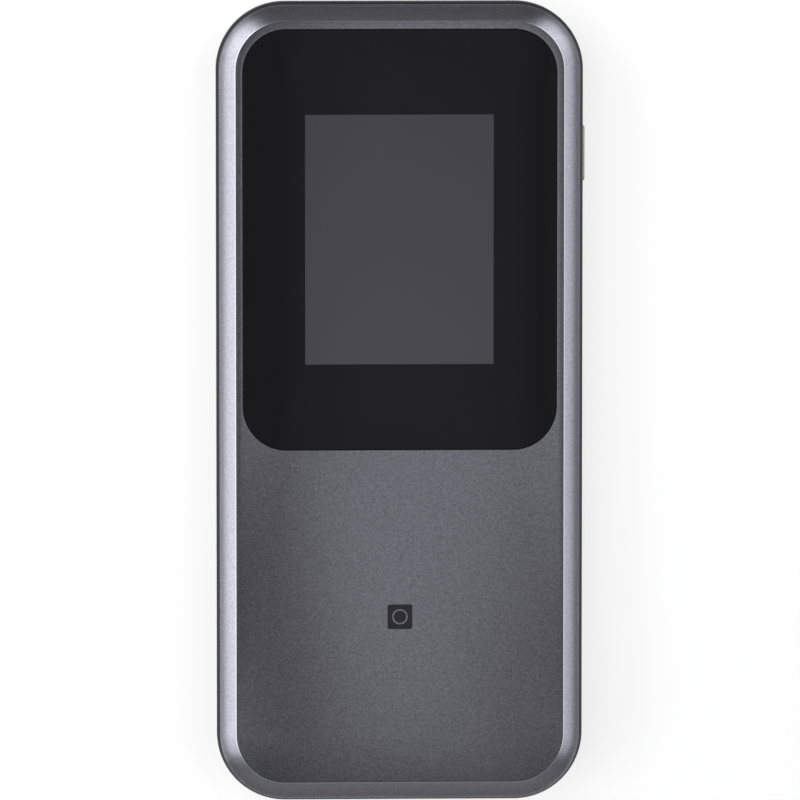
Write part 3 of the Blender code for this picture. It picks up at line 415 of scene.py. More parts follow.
def band_line():
    """Crest, band and roll, from the inner wall out to the widest line."""
    centre = (crest_inset - CREST_ROUND, crest - CREST_ROUND)
    line = arc(centre, CREST_ROUND, -math.pi / 2, CUT_SLOPE, CREST_STEPS)
    line.append((line[-1][0] - CUT_WIDTH, line[-1][1] - CUT_WIDTH * math.tan(CUT_SLOPE)))
    inset, foot = line[-1]
    run = inset - ROLL_RADIUS * (1 - math.sin(BAND_SLOPE_OUTER))
    radius = run / (math.sin(BAND_SLOPE_OUTER) - math.sin(BAND_SLOPE_INNER))
    centre = (inset + radius * math.sin(BAND_SLOPE_INNER), foot - radius * math.cos(BAND_SLOPE_INNER))
    line += arc(centre, radius, BAND_SLOPE_INNER, BAND_SLOPE_OUTER, BAND_STEPS)[1:]
    top = line[-1][1]
    centre = (ROLL_RADIUS, top - ROLL_RADIUS * math.cos(BAND_SLOPE_OUTER))
    line += arc(centre, ROLL_RADIUS, BAND_SLOPE_OUTER, math.pi / 2, BAND_STEPS)[1:]
    return line, foot, top


front_line, cut_foot, shoulder = band_line()
side_foot = front_line[-1][1] - SIDE_FLAT
paint_and_shade_edge = (shoulder, shoulder + PAINT_AND_SHADE_FADE)
side_painted_shade = (side_foot, side_foot + SIDE_FLAT)
band_paint = metallic_paint("band_paint", PAINT_DARK, PAINT_BRIGHT, 1.0, PAINT_ROUGHNESS, paint_and_shade_edge)
moulding = moulded_plastic("dark_moulding", MOULDING_DARK, MOULDING_LIGHT, MOULDING_ROUGHNESS)
side_plastic = moulded_plastic("side_plastic", SIDE_DARK, SIDE_LIGHT, SIDE_ROUGHNESS, side_painted_shade)
cut_edge = bare_metal("cut_edge", CUT_DARK, CUT_BRIGHT, CUT_ROUGHNESS)


def back_point(angle, depth=0.0):
    """Point on the rear ellipse, from 0 at the side to a right angle at the back, or below it."""
    normal = Vector((math.cos(angle) / REAR_ROUND, math.sin(angle) / side_foot)).normalized()
    inset = REAR_ROUND * (1 - math.cos(angle)) + depth * normal.x
    return inset, side_foot * (1 - math.sin(angle)) + depth * normal.y


def back_angle(height):
    """Angle of the point on the rear ellipse at a height, or 0 above the ellipse."""
    return math.asin(min(max((side_foot - height) / side_foot, 0.0), 1.0))


def back_line(start, end, steps, depth=0.0):
    """Points along the rear ellipse between two angles, or below it."""
    return [back_point(start + (end - start) * step / steps, depth) for step in range(steps + 1)]


def on_side(shape, side, middle, height):
    """Lay a shape built along +Z on a side, its zero height on the side's curved surface."""
    for vert in shape.verts:
        across, up, out = vert.co
        inset = back_point(back_angle(height + up))[0]
        if side == "right":
            vert.co = (half_width - inset + out, middle + across, height + up)
        elif side == "left":
            vert.co = (-half_width + inset - out, middle - across, height + up)
        else:
            vert.co = (middle + across, -half_length + inset - out, height + up)
    return shape


def opening(sizes, side, middle, height, depth=2 * FRAME_WALL, flare=MOUTH_FLARE):
    """Cutter for an opening with a broken edge. Its sizes are half its length and width, and a corner."""
    line = [(0.0, -depth), (0.0, -flare), (-flare, 0.0), (-3 * flare, 2 * flare)]
    return on_side(closed_ends(swept(line, *sizes, moulding)), side, middle, height)


frame_line = front_line + back_line(0.0, back_angle(parting), SIDE_STEPS)
frame_line += [
    (FRAME_WALL, parting),
    (FRAME_WALL, ledge_bottom),
    (ledge_inset, ledge_bottom),
    (ledge_inset, ledge_top),
    (crest_inset, ledge_top),
]
ring = swept(frame_line, half_width, half_length, CORNER_RADIUS, band_paint, closed=True)
frame_finishes = [band_paint, side_plastic, cut_edge]
frame_shell = to_object("frame_shell", ring, *frame_finishes)

key_low, key_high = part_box("power_key")
key_middle = (key_low + key_high) / 2
key_half_long = (key_high.y - key_low.y) / 2 - KEY_FLANGE_RIM
key_half_short = (key_high.z - key_low.z) / 2 - KEY_FLANGE_RIM
key_sizes = [size + SEAM for size in (key_half_long, key_half_short, KEY_CORNER)]
cut(frame_shell, opening(key_sizes, "right", key_middle.y, key_middle.z))
tray_low, tray_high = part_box("sim_tray")
tray_middle = (tray_low + tray_high) / 2
tray_half_long = (tray_high.y - tray_low.y) / 2
tray_half_short = (tray_high.z - tray_low.z) / 2
tray_sizes = [size + SEAM for size in (tray_half_long, tray_half_short, tray_half_short)]
cut(frame_shell, opening(tray_sizes, "left", tray_middle.y, tray_middle.z))
port_low, port_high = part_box("usb_shell")
port_middle = (port_low + port_high) / 2
port_half_long = (port_high.x - port_low.x) / 2
port_half_short = (port_high.z - port_low.z) / 2
port_sizes = [size + PORT_CLEARANCE for size in (port_half_long, port_half_short, port_half_short)]
cut(frame_shell, opening(port_sizes, "bottom", 0.0, port_middle.z))
reset_low, reset_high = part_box("reset_plunger")
reset_middle = (reset_low + reset_high) / 2
cut(frame_shell, opening([RESET_HOLE_RADIUS] * 3, "bottom", reset_middle.x, reset_middle.z))
# Faces low on the roll and side take the bare plastic, whose dark rim there is partly painted shade.
for face in frame_shell.data.polygons:
    finish = side_plastic
    if face.center.z > shoulder - MASK_AND_SHADE_DROP:
        finish = band_paint
    if face.center.z > cut_foot:
        finish = cut_edge
    face.material_index = frame_finishes.index(finish)
install(frame_shell, "housing", "frame_paint", "mid_frame")


# Rear cover: a shell of dark plastic whose edge draws in as a quarter ellipse to a flat back.
# It is moulded with a fine texture, and a lip on it clips inside the frame.
COVER_WALL = 0.0013
LIP_THICKNESS = 0.0010
REAR_STEPS = 26
lip_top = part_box("rear_cover")[1].z
cover_plastic = moulded_plastic("cover_plastic", SIDE_DARK, SIDE_LIGHT, SIDE_ROUGHNESS)
rim = parting - SEAM
lip_outer = FRAME_WALL + SEAM
lip_inner = lip_outer + LIP_THICKNESS
cover_line = back_line(math.pi / 2, back_angle(rim), REAR_STEPS)
cover_line += [
    (lip_outer, rim),
    (lip_outer, lip_top),
    (lip_inner, lip_top),
    (lip_inner, rim - COVER_WALL),
]
hollow = back_line(back_angle(rim), math.pi / 2, REAR_STEPS, COVER_WALL)
cover_line += [point for point in hollow if point[0] > lip_inner + SEAM]
cover = closed_ends(swept(cover_line, half_width, half_length, CORNER_RADIUS, cover_plastic))
install(to_object("rear_shell", cover, cover_plastic), "housing", "cover_plastic", "rear_cover")


# Front plate: a flat panel sprayed with a darker sparkle paint, set just below the frame's crest.
# A pocket with a broken edge takes the window, and a shelf in it carries the bonding gasket.
PLATE_EDGE = 0.00006
PLATE_DARK = (0.115, 0.114, 0.132)
PLATE_BRIGHT = (0.190, 0.188, 0.218)
PLATE_METALLIC = 0.95
POCKET_EDGE = 0.00020
EDGE_STEPS = 4
SHELF_DROP = 0.00015            # of the shelf below the gasket's solid
WINDOW_RADIUS = 0.0084
WINDOW_LEDGE = 0.0020
WINDOW_TRIM_X = 0.00019         # by which the finished glass is smaller than its solid
WINDOW_TRIM_Y = 0.00035
window_low, window_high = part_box("display_window")
window_middle = (window_low + window_high) / 2
window_half_x = (window_high.x - window_low.x) / 2 - WINDOW_TRIM_X
window_half_y = (window_high.y - window_low.y) / 2 - WINDOW_TRIM_Y
plate_paint = metallic_paint("plate_paint", PLATE_DARK, PLATE_BRIGHT, PLATE_METALLIC, PAINT_ROUGHNESS)


def fill_between(shape, height):
    """Fill the flat face between the open edges that lie at a height."""
    rims = [edge for edge in shape.edges if edge.is_boundary]
    edges = [edge for edge in rims if all(abs(vert.co.z - height) < MERGE for vert in edge.verts)]
    bmesh.ops.triangle_fill(shape, use_beauty=True, edges=edges)


def join(shape, other):
    """Add another shape to a shape."""
    mesh = bpy.data.meshes.new("joined")
    other.to_mesh(mesh)
    other.free()
    shape.from_mesh(mesh)


edge_line = arc((PLATE_EDGE, plate_high.z - PLATE_EDGE), PLATE_EDGE, math.pi / 2, 0.0, EDGE_STEPS)
plate_radius = CORNER_RADIUS - (half_width - plate_high.x)
plate = swept([(0.0, plate_low.z)] + edge_line, plate_high.x, plate_high.y, plate_radius, plate_paint)
pocket_line = arc((-POCKET_EDGE, plate_high.z - POCKET_EDGE), POCKET_EDGE, 0.0, -math.pi / 2, EDGE_STEPS)
pocket_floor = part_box("window_gasket")[0].z - SHELF_DROP
shelf = WINDOW_LEDGE + PLATE_SEAM
pocket_line += [(0.0, pocket_floor), (shelf, pocket_floor), (shelf, plate_low.z)]
pocket_sides = [size + PLATE_SEAM for size in (window_half_x, window_half_y, WINDOW_RADIUS)]
pocket = swept(pocket_line, *pocket_sides, plate_paint)
bmesh.ops.translate(pocket, verts=pocket.verts, vec=(0.0, window_middle.y, 0.0))
join(plate, pocket)
fill_between(plate, plate_high.z)
fill_between(plate, plate_low.z)
install(to_object("front_panel", plate, plate_paint), "housing", "plate_paint", "front_plate")


# Touch point: a small dark square printed low on the plate, with a plain ring left open in it.
# The ink is pad printed, two hundredths of a millimetre thick.
PRINT_SIZE = 0.00484
PRINT_RADIUS = 0.0004
PRINT_MIDDLE_Y = -0.0418
PRINT_THICKNESS = 0.00002
PRINT_GAP = 0.000005
RING_OUTER = 0.00150
RING_INNER = 0.00120
INK_DARK = (0.017, 0.016, 0.021)
INK_LIGHT = (0.027, 0.025, 0.033)
INK_SCALE = 9000.0
INK_ROUGHNESS = 0.42
INK_GRAIN_ROUGHNESS = 0.16
INK_GLOSS = 0.15
ink, ink_place = new_finish("print_ink")
ink_grain = ink_place.noise(INK_SCALE)
ink_place.surface({
    "Base Color": ink_grain.blend(INK_DARK, INK_LIGHT),
    "Roughness": INK_ROUGHNESS + ink_grain * INK_GRAIN_ROUGHNESS,
    "Specular IOR Level": INK_GLOSS,
})
print_low = plate_high.z + PRINT_GAP
print_high = print_low + PRINT_THICKNESS
half_print = PRINT_SIZE / 2
print_line = [(0.0, print_low), (0.0, print_high)]
print_mark = swept(print_line, half_print, half_print, PRINT_RADIUS, ink)
join(print_mark, swept(print_line, RING_OUTER, RING_OUTER, RING_OUTER, ink))
fill_between(print_mark, print_high)
fill_between(print_mark, print_low)
join(print_mark, closed_ends(swept(print_line, RING_INNER, RING_INNER, RING_INNER, ink)))
bmesh.ops.translate(print_mark, verts=print_mark.verts, vec=(0.0, PRINT_MIDDLE_Y, 0.0))
install(to_object("touch_print", print_mark, ink), "housing", "plate_paint")


# Window: a lens of hardened glass with a broken edge, backed with black print and bonded in the
# plate's pocket. Its clear part is bonded to the display, and is made with it.
WINDOW_EDGE = 0.00016
ACTIVE_HALF_X = 0.01830
ACTIVE_HALF_Y = 0.02431
ACTIVE_CORNER = 0.00015
ACTIVE_MIDDLE_X = -0.0001
ACTIVE_RISE = 0.00007           # of the clear part's middle over the window's
GLASS_DARK = (0.0112, 0.0110, 0.0132)
GLASS_LIGHT = (0.0129, 0.0127, 0.0151)
GLASS_IOR = 1.15                # of glass with an anti-reflection coat
GLASS_ROUGHNESS = 0.02
SMEAR_SCALE = 60.0
SMEAR_ROUGHNESS = 0.02
black_glass, black_place = new_finish("black_glass")
smear = black_place.noise(SMEAR_SCALE, detail=4.0)
black_place.surface({
    "Base Color": smear.blend(GLASS_DARK, GLASS_LIGHT),
    "Roughness": GLASS_ROUGHNESS + smear * SMEAR_ROUGHNESS,
    "IOR": GLASS_IOR,
})
lens_line = arc((WINDOW_EDGE, window_low.z + WINDOW_EDGE), WINDOW_EDGE, math.pi, math.pi / 2, EDGE_STEPS)
lens_line += arc((WINDOW_EDGE, window_high.z - WINDOW_EDGE), WINDOW_EDGE, math.pi / 2, 0.0, EDGE_STEPS)
lens = swept(lens_line, window_half_x, window_half_y, WINDOW_RADIUS, black_glass)
bmesh.ops.translate(lens, verts=lens.verts, vec=(0.0, window_middle.y, 0.0))
active_middle = (ACTIVE_MIDDLE_X, window_middle.y + ACTIVE_RISE, 0.0)
clear_line = [(0.0, window_low.z), (0.0, window_high.z)]
clear_edge = swept(clear_line, ACTIVE_HALF_X, ACTIVE_HALF_Y, ACTIVE_CORNER, black_glass)
bmesh.ops.translate(clear_edge, verts=clear_edge.verts, vec=active_middle)
join(lens, clear_edge)
fill_between(lens, window_low.z)
fill_between(lens, window_high.z)
install(to_object("cover_lens", lens, black_glass), "housing", "black_glass", "display_window")


# Display: a liquid-crystal panel, switched off, bonded to the back of the window with clear resin.
# Resin and glass leave no boundary to see, so the clear part of the window stands on the panel,
# with the panel's dark grey close under the same polished face as the rest of the window.
PANEL_BOND = 0.00005
PANEL_CORNER = 0.0003
CLEAR_FIT = 0.00001             # seam round the clear part
PANEL_DARK = (0.0600, 0.0583, 0.0690)
PANEL_LIGHT = (0.0735, 0.0715, 0.0850)
PAINTED_SHEEN_SHARE = 0.7               # of the painted sheen, a tone that grows lighter towards the lower end
MURA_SCALE = 45.0
MURA_SHARE = 0.15
GLARE_SCALE = 9000.0
GLARE_SHARE = 0.15
panel_low, panel_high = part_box("lcd_panel")
panel_middle = (panel_low + panel_high) / 2
panel_size = (panel_high - panel_low) / 2
panel_finish, panel_place = new_finish("display_panel")
mura = panel_place.noise(MURA_SCALE, detail=3.0)
glare = panel_place.noise(GLARE_SCALE)
# Painted sheen: the panel's tone grows lighter towards its lower end.
painted_sheen = panel_place.parts()["Y"].ramp(panel_high.y, panel_low.y)
panel_tone = painted_sheen * PAINTED_SHEEN_SHARE + mura * MURA_SHARE + glare * GLARE_SHARE
panel_place.surface({
    "Base Color": panel_tone.blend(PANEL_DARK, PANEL_LIGHT),
    "Roughness": GLASS_ROUGHNESS + mura * SMEAR_ROUGHNESS,
    "IOR": GLASS_IOR,
})
bond_top = window_low.z - PANEL_BOND
panel_line = [(0.0, panel_low.z), (0.0, bond_top)]
panel = closed_ends(swept(panel_line, panel_size.x, panel_size.y, PANEL_CORNER, panel_finish))
bmesh.ops.translate(panel, verts=panel.verts, vec=(panel_middle.x, panel_middle.y, 0.0))
block_line = [(CLEAR_FIT, bond_top - PANEL_BOND), (CLEAR_FIT, window_high.z)]
block = closed_ends(swept(block_line, ACTIVE_HALF_X, ACTIVE_HALF_Y, ACTIVE_CORNER, panel_finish))
bmesh.ops.translate(block, verts=block.verts, vec=active_middle)
join(panel, block)
install(to_object("display_panel", panel, panel_finish), "housing", "display", "lcd_panel")


# Power key: a slim moulded bar that stands proud through the right side, its flanks painted satin
# grey and its face left dark, partly as painted shade for the dark reflection at its outer edge. A
# flange behind the wall holds it in, and a nub presses the switch.
KEY_CROWN = 0.00030
KEY_FLANGE_THICKNESS = 0.0006
KEY_FACE_DEPTH = 0.00016
KEY_DARK = (0.52, 0.52, 0.49)
KEY_BRIGHT = (0.64, 0.64, 0.60)
KEY_METALLIC = 0.8
KEY_ROUGHNESS = 0.40
NUB_REACH = 0.0003
NUB_HALF_LONG = 0.0012
NUB_HALF_SHORT = 0.0006
NUB_CORNER = 0.0002
key_paint = metallic_paint("key_paint", KEY_DARK, KEY_BRIGHT, KEY_METALLIC, KEY_ROUGHNESS)


def along_x(shape, y, z):
    """Turn a shape built along +Z to run along +X, its width along Y."""
    shape.transform(Matrix(((0, 0, 1, 0), (1, 0, 0, y), (0, 1, 0, z), (0, 0, 0, 1))))
    return shape


key_inner = key_low.x + NUB_REACH
flange_outer = key_inner + KEY_FLANGE_THICKNESS
key_line = [(-KEY_FLANGE_RIM, key_inner), (-KEY_FLANGE_RIM, flange_outer), (0.0, flange_outer)]
key_line += arc((KEY_CROWN, key_high.x - KEY_CROWN), KEY_CROWN, math.pi / 2, 0.0, CREST_STEPS)
key = closed_ends(swept(key_line, key_half_long, key_half_short, KEY_CORNER, key_paint))
key = along_x(key, key_middle.y, key_middle.z)
nub_line = [(0.0, key_low.x), (0.0, key_inner + SEAM)]
nub = closed_ends(swept(nub_line, NUB_HALF_LONG, NUB_HALF_SHORT, NUB_CORNER, key_paint))
join(key, along_x(nub, key_middle.y, key_middle.z))
key_finishes = [key_paint, moulding]
# The dark face is partly painted shade, standing in for the dark reflection at the key's outer edge.
for face in key.faces:
    finish = moulding if face.calc_center_median().x > key_high.x - KEY_FACE_DEPTH else key_paint
    face.material_index = key_finishes.index(finish)
install(to_object("power_button", key, *key_finishes), "power_key", "frame_paint", "power_key")


# SIM tray: a plastic drawer with a frame-coloured face that lies flush in the left side, with a
# pinhole for the eject pin. The card lies in a recess with an open floor.
FACE_DEPTH = 0.0015
FACE_EDGE = 0.00010
FACE_STEP = 0.00019             # between the rings of faces that bend with the side
FACE_STEPS = 5
PINHOLE_RADIUS = 0.0005
PINHOLE_INSET = 0.0018
DRAWER_OFFSET = 0.0014
CARD_HALF_LENGTH = 0.00635
CARD_HALF_WIDTH = 0.0046
CARD_DEPTH = 0.0006
CARD_SHELF = 0.0007
DRAWER_WALL = 0.0008
DRAWER_THICKNESS = 0.0008
face_line = [(0.0, -FACE_DEPTH), (0.0, -FACE_EDGE), (FACE_EDGE, 0.0)]
face_line += [(FACE_EDGE + FACE_STEP * step, 0.0) for step in range(1, FACE_STEPS)]
tray_face = closed_ends(swept(face_line, tray_half_long, tray_half_short, tray_half_short, moulding))
tray_face = on_side(tray_face, "left", tray_middle.y, tray_middle.z)
sim_drawer = to_object("sim_drawer", tray_face, side_plastic)
pin_y = tray_middle.y + tray_half_long - PINHOLE_INSET
pin_sizes = [PINHOLE_RADIUS] * 3
cut(sim_drawer, opening(pin_sizes, "left", pin_y, tray_middle.z, 2 * FACE_DEPTH, FACE_EDGE))
drawer_y = tray_middle.y - DRAWER_OFFSET
drawer_half_y = CARD_HALF_WIDTH + DRAWER_WALL
drawer_end = tray_high.x
drawer_start = -half_width + FACE_DEPTH - SEAM
drawer_half_x = (drawer_end - drawer_start) / 2
drawer_top = tray_middle.z + DRAWER_THICKNESS / 2
drawer_line = [(0.0, drawer_top - DRAWER_THICKNESS), (0.0, drawer_top)]
drawer = closed_ends(swept(drawer_line, drawer_half_x, drawer_half_y, DRAWER_WALL / 2, moulding))
bmesh.ops.translate(drawer, verts=drawer.verts, vec=((drawer_start + drawer_end) / 2, drawer_y, 0.0))
card_x = drawer_end - DRAWER_WALL - CARD_HALF_LENGTH
card_line = [(CARD_SHELF, drawer_top - 2 * DRAWER_THICKNESS), (CARD_SHELF, drawer_top - CARD_DEPTH)]
card_line += [(0.0, drawer_top - CARD_DEPTH), (0.0, drawer_top + SEAM)]
recess = closed_ends(swept(card_line, CARD_HALF_LENGTH, CARD_HALF_WIDTH, CARD_SHELF + SEAM, moulding))
bmesh.ops.translate(recess, verts=recess.verts, vec=(card_x, drawer_y, 0.0))
drawer_body = to_object("drawer", drawer, side_plastic)
cut(drawer_body, recess)
tray = bmesh.new()
tray.from_mesh(sim_drawer.data)
tray.from_mesh(drawer_body.data)
tray.to_mesh(sim_drawer.data)
tray.free()
bpy.data.objects.remove(drawer_body)
install(sim_drawer, "sim_tray", "frame_paint", "sim_tray")


# Port: a receptacle of drawn stainless steel with a rounded lip, soldered to its own small board.
# The moulded tongue inside it carries a row of gold-plated contacts on each face.
PORT_WALL = 0.0003
STEEL_DARK = (0.44, 0.44, 0.45)
STEEL_BRIGHT = (0.56, 0.56, 0.57)
STEEL_ROUGHNESS = 0.30
TONGUE_HALF_WIDTH = 0.003345
TONGUE_HALF_THICKNESS = 0.00035
TONGUE_TIP = 0.00015
TONGUE_BODY_LENGTH = 0.0018
TONGUE_CLEARANCE = 0.00015
CONTACTS = 12
CONTACT_PITCH = 0.0005
CONTACT_HALF_WIDTH = 0.00013
CONTACT_HALF_LENGTH = 0.0016
CONTACT_HEIGHT = 0.00003
CONTACT_INSET = 0.0004          # from the tongue's tip
GOLD_DARK = (0.80, 0.55, 0.20)
GOLD_BRIGHT = (0.90, 0.66, 0.28)
GOLD_ROUGHNESS = 0.25


def along_y(shape, x, z):
    """Turn a shape built along +Z to run along +Y, its width along X."""
    shape.transform(Matrix(((-1, 0, 0, x), (0, 0, 1, 0), (0, 1, 0, z), (0, 0, 0, 1))))
    return shape


port_steel = bare_metal("port_steel", STEEL_DARK, STEEL_BRIGHT, STEEL_ROUGHNESS)
lip_radius = PORT_WALL / 2
lip = arc((lip_radius, port_low.y + lip_radius), lip_radius, math.pi / 2, 3 * math.pi / 2, CREST_STEPS)
port_line = [(0.0, port_high.y)] + lip + [(PORT_WALL, port_high.y)]
port = swept(port_line, port_half_long, port_half_short, port_half_short, port_steel, closed=True)
port = along_y(port, 0.0, port_middle.z)
install(to_object("port_shell", port, port_steel), "housing", "steel", "usb_shell")

tongue_low, tongue_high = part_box("usb_tongue")
body_inset = PORT_WALL + TONGUE_CLEARANCE
body_front = tongue_high.y - TONGUE_BODY_LENGTH
body_line = [(body_inset, body_front), (body_inset, tongue_high.y)]
tongue = closed_ends(swept(body_line, port_half_long, port_half_short, port_half_short, moulding))
blade_line = [(TONGUE_TIP, tongue_low.y), (0.0, tongue_low.y + TONGUE_TIP), (0.0, body_front + SEAM)]
blade = swept(blade_line, TONGUE_HALF_WIDTH, TONGUE_HALF_THICKNESS, TONGUE_TIP, moulding)
join(tongue, closed_ends(blade))
tongue = along_y(tongue, 0.0, port_middle.z)
install(to_object("port_tongue", tongue, moulding), "housing", "moulding", "usb_tongue")


def row_tree():
    """Nodes that set an object's own mesh out in a row."""
    kinds = {"Contact": "Geometry", "Count": "Int", "Pitch": "Vector", "Start": "Vector"}
    kinds["Finish"] = "Material"
    tree, names, given = new_tree("contact_row", kinds)
    contact = given["Contact"]
    spacing = {"Count": given["Count"], "Start Location": given["Start"], "Offset": given["Pitch"]}
    points = contact.add("GeometryNodeMeshLine", None, spacing)["Mesh"]
    setting = {"Points": points, "Instance": contact}
    row = contact.add("GeometryNodeInstanceOnPoints", None, setting)["Instances"]
    end_tree(tree, row, given["Finish"])
    return tree, names


ROW, ROW_NAMES = row_tree()
contact_gold = bare_metal("contact_gold", GOLD_DARK, GOLD_BRIGHT, GOLD_ROUGHNESS)
contact_line = [(0.0, 0.0), (0.0, CONTACT_HEIGHT / 2), (CONTACT_HEIGHT, CONTACT_HEIGHT)]
contact_sizes = (CONTACT_HALF_WIDTH, CONTACT_HALF_LENGTH, CONTACT_HALF_WIDTH / 2)
contact_middle = tongue_low.y + CONTACT_INSET + CONTACT_HALF_LENGTH
first_contact = -CONTACT_PITCH * (CONTACTS - 1) / 2
rows = bmesh.new()
for face_sign in (-1, 1):
    contact = closed_ends(swept(contact_line, *contact_sizes, contact_gold))
    for vert in contact.verts:
        vert.co.z *= face_sign
    values = {
        "Count": CONTACTS,
        "Pitch": (CONTACT_PITCH, 0.0, 0.0),
        "Start": (first_contact, contact_middle, port_middle.z + face_sign * TONGUE_HALF_THICKNESS),
        "Finish": contact_gold,
    }
    rows.from_mesh(grown(to_object("contact", contact, contact_gold), ROW, ROW_NAMES, values))
install(to_object("port_contacts", rows, contact_gold), "housing", "copper")


# Inside: what the closed housing holds. Each node keeps its solid and gets its own finish:
# boards, flex circuits, shields, screws, chips, foams, the battery and the aerials.
SPECK_ROUGHNESS = 0.2
TRACK_WANDER = 1.5
TRACK_EDGE = (0.55, 0.70)       # of the wave that a track is cut from
TRACK_ROUGHNESS = 0.08
TRACK_DEPTH = 0.00001


def speckled(name, dark, light, scale, roughness, depth=0.0):
    """Plain finish with a fine speckle, for foams, tapes, pads and wraps."""
    material, place = new_finish(name)
    speck = place.noise(scale, detail=3.0)
    sockets = {
        "Base Color": speck.blend(dark, light),
        "Roughness": roughness + (speck - 0.5) * SPECK_ROUGHNESS,
    }
    if depth:
        sockets["Normal"] = place.bump(speck, depth)
    place.surface(sockets)
    return material


def tracked(name, ground, track, pitch, roughness):
    """Lacquered circuit with copper tracks that show through."""
    material, place = new_finish(name)
    sockets = {"Vector": place, "Scale": 1.0 / pitch, "Distortion": TRACK_WANDER, "Detail": 1.0}
    tracks = place.add("ShaderNodeTexWave", None, sockets)["Fac"].ramp(*TRACK_EDGE)
    place.surface({
        "Base Color": tracks.blend(ground, track),
        "Roughness": roughness + tracks * TRACK_ROUGHNESS,
        "Normal": place.bump(tracks, TRACK_DEPTH),
    })
    return material


inside = (
    (moulding,
     ("chassis", "lcd_connector", "battery_connector", "power_switch_plunger", "reset_plunger")),
    (speckled("foam", (0.010, 0.010, 0.010), (0.022, 0.022, 0.022),
              scale=4000.0, roughness=0.9, depth=0.00005),
     ("window_gasket", "lcd_gasket")),
    (speckled("light_guide", (0.74, 0.74, 0.73), (0.84, 0.84, 0.83), scale=2500.0, roughness=0.4),
     ("lcd_backlight",)),
    (tracked("circuit_board", (0.008, 0.050, 0.024), (0.014, 0.078, 0.036), pitch=0.0012, roughness=0.40),
     ("main_board", "usb_board", "battery_board")),
    (tracked("flex_circuit", (0.26, 0.10, 0.015), (0.36, 0.16, 0.030), pitch=0.0006, roughness=0.38),
     ("lcd_flex", "battery_lead", "board_link_flex")),
    (bare_metal("tinned_steel", (0.50, 0.49, 0.47), (0.62, 0.61, 0.59), roughness=0.36),
     ("modem_shield", "wifi_shield", "power_shield",
      "sim_socket", "power_switch_body", "reset_switch_body")),
    (bare_metal("screw_steel", (0.36, 0.36, 0.36), (0.48, 0.48, 0.48), roughness=0.32),
     tuple(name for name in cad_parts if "screw" in name)),
    (speckled("chip_epoxy", (0.010, 0.010, 0.011), (0.016, 0.016, 0.017),
              scale=9000.0, roughness=0.55, depth=0.000005),
     ("modem_chip", "wifi_chip")),
    (speckled("silicone_pad", (0.22, 0.23, 0.26), (0.28, 0.29, 0.32),
              scale=3000.0, roughness=0.8, depth=0.00002),
     ("thermal_pad",)),
    (bare_metal("graphite", (0.024, 0.024, 0.027), (0.040, 0.040, 0.044), roughness=0.45),
     ("heat_spreader",)),
    (speckled("cell_wrap", (0.017, 0.017, 0.019), (0.024, 0.024, 0.026), scale=400.0, roughness=0.42),
     ("battery_cell",)),
    (speckled("tape", (0.64, 0.63, 0.58), (0.76, 0.75, 0.70), scale=1500.0, roughness=0.6),
     ("battery_tape_left", "battery_tape_right")),
    (bare_metal("copper", (0.66, 0.29, 0.15), (0.78, 0.37, 0.21), roughness=0.34),
     ("antenna_top", "antenna_left", "antenna_right", "antenna_bottom")),
)
for finish, names in inside:
    for name in names:
        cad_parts[name].material_slots[0].material = finish


# Floor: a plain pale sheet that the hotspot lies on, white to the eye and to reflections, and
# darker only where the hotspot shades it.
FLOOR_SIZE = 6.0
FLOOR_GAP = 0.00005
FLOOR_COLOUR = (0.62, 0.62, 0.62)
FLOOR_GLOW = 0.62
WHITE = (1.0, 1.0, 1.0)
floor_finish, floor_place = new_finish("floor_sheet")
rays = floor_place.add("ShaderNodeLightPath")
seen = rays["Is Camera Ray"] + rays["Is Glossy Ray"] + rays["Is Transmission Ray"]
floor_place.surface({"Base Color": FLOOR_COLOUR, "Roughness": 1.0, "Specular IOR Level": 0.0})
glow_sockets = {"Color": WHITE, "Strength": seen * FLOOR_GLOW}
glow = floor_place.add("ShaderNodeEmission", None, glow_sockets)["Emission"]
sheet_shader = Wire(floor_place.tree, floor_place.tree.nodes["Principled BSDF"].outputs["BSDF"])
lit = floor_place.add("ShaderNodeAddShader", None, {"Shader": sheet_shader, "Shader_001": glow})["Shader"]
floor_place.feed(floor_place.tree.nodes["Material Output"], {"Surface": lit})
floor_shape = bmesh.new()
bmesh.ops.create_grid(floor_shape, x_segments=1, y_segments=1, size=FLOOR_SIZE / 2)
floor = to_object("floor", floor_shape, floor_finish)
floor.location.z = cad_box[0].z - FLOOR_GAP


# Light: one large softbox on each side, the left one brighter, a small one close overhead, dim cards
# that show only in reflections, and a plain grey room. Each panel fades towards its edges.
EDGE_FALL = 1.5
ROOM_COLOUR = (0.115, 0.115, 0.12, 1.0)


def softbox(name, place, aim, width, length, strength, lift=None):
    """Glowing panel that faces a point, unseen by the camera. A lift is a start, an end and a gain."""
    material, spot = new_finish(name)
    parts = spot.parts()
    across = parts["X"] * (2 / width)
    along = parts["Y"] * (2 / length)
    across = across * across
    along = along * along
    level = (1 - across ** EDGE_FALL) * (1 - along * along) * strength
    if lift:
        start, end, gain = lift
        level = level * (1 + parts["X"].ramp(start, end) * gain)
    light = spot.add("ShaderNodeEmission", None, {"Color": WHITE, "Strength": level})["Emission"]
    spot.feed(spot.tree.nodes["Material Output"], {"Surface": light})
    shape = bmesh.new()
    bmesh.ops.create_grid(shape, x_segments=1, y_segments=1, size=0.5)
    bmesh.ops.scale(shape, verts=shape.verts, vec=(width, length, 1.0))
    box = to_object(name, shape, material)
    facing = (Vector(place) - Vector(aim)).to_track_quat("Z", "Y")
    box.matrix_world = Matrix.Translation(place) @ facing.to_matrix().to_4x4()
    box.visible_camera = False
    return box


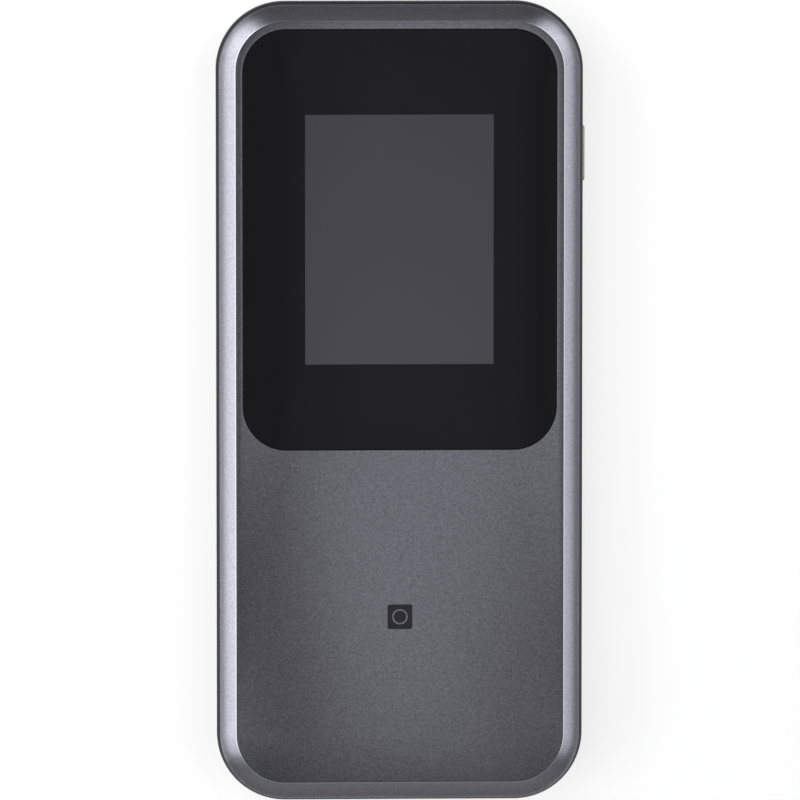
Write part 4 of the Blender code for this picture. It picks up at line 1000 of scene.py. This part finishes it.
softbox("left_softbox", (-0.44, 0.12, 0.43), aim=(0.0, 0.12, 0.0),
        width=1.40, length=0.84, strength=1.75, lift=(-0.02, -0.25, 0.25))
softbox("right_softbox", (0.44, 0.12, 0.43), aim=(0.0, 0.12, 0.0),
        width=1.40, length=0.80, strength=1.08, lift=(0.02, 0.25, 0.60))
softbox("top_softbox", (0.0085, 0.007, 0.095), aim=(0.0085, 0.007, 0.0),
        width=0.074, length=0.254, strength=1.02)
cards = (
    softbox("bottom_card", (0.0, -0.125, 0.06), aim=(0.0, 0.0, 0.06),
            width=0.24, length=0.12, strength=0.26),
    softbox("top_card", (0.0, 0.13, 0.02), aim=(0.0, 0.0, 0.02),
            width=0.13, length=0.18, strength=0.11),
    softbox("right_card", (0.14, 0.0, 0.012), aim=(0.0, 0.0, 0.012),
            width=0.50, length=0.036, strength=0.13),
)
for card in cards:
    card.visible_shadow = False
    card.visible_diffuse = False
room = bpy.data.worlds.new("room")
room.use_nodes = True
room.node_tree.nodes["Background"].inputs["Color"].default_value = ROOM_COLOUR
bpy.context.scene.world = room


# Camera: above the hotspot, tipped a little towards its top edge and its left side. A long lens,
# far off, keeps the hotspot's sides close to parallel.
VIEW_TILT = math.radians(6.0)
VIEW_YAW = math.radians(2.0)
VIEW_DISTANCE = 1.80
VIEW_REACH = 20.0
VIEW_WIDTH = 0.15553            # of what the picture takes in, at the hotspot
VIEW_AIM = Vector((0.00003, 0.0006, 0.0150))
SENSOR = 36.0
camera_data = bpy.data.cameras.new("camera")
camera_data.sensor_width = SENSOR
camera_data.lens = SENSOR * VIEW_DISTANCE / VIEW_WIDTH
camera_data.clip_end = VIEW_REACH
camera = bpy.data.objects.new("camera", camera_data)
turn = Matrix.Rotation(-VIEW_YAW, 4, "Y") @ Matrix.Rotation(-VIEW_TILT, 4, "X")
camera.matrix_world = Matrix.Translation(VIEW_AIM) @ turn @ Matrix.Translation((0.0, 0.0, VIEW_DISTANCE))
bpy.context.scene.collection.objects.link(camera)
bpy.context.scene.camera = camera
bpy.context.scene.view_settings.view_transform = "Standard"
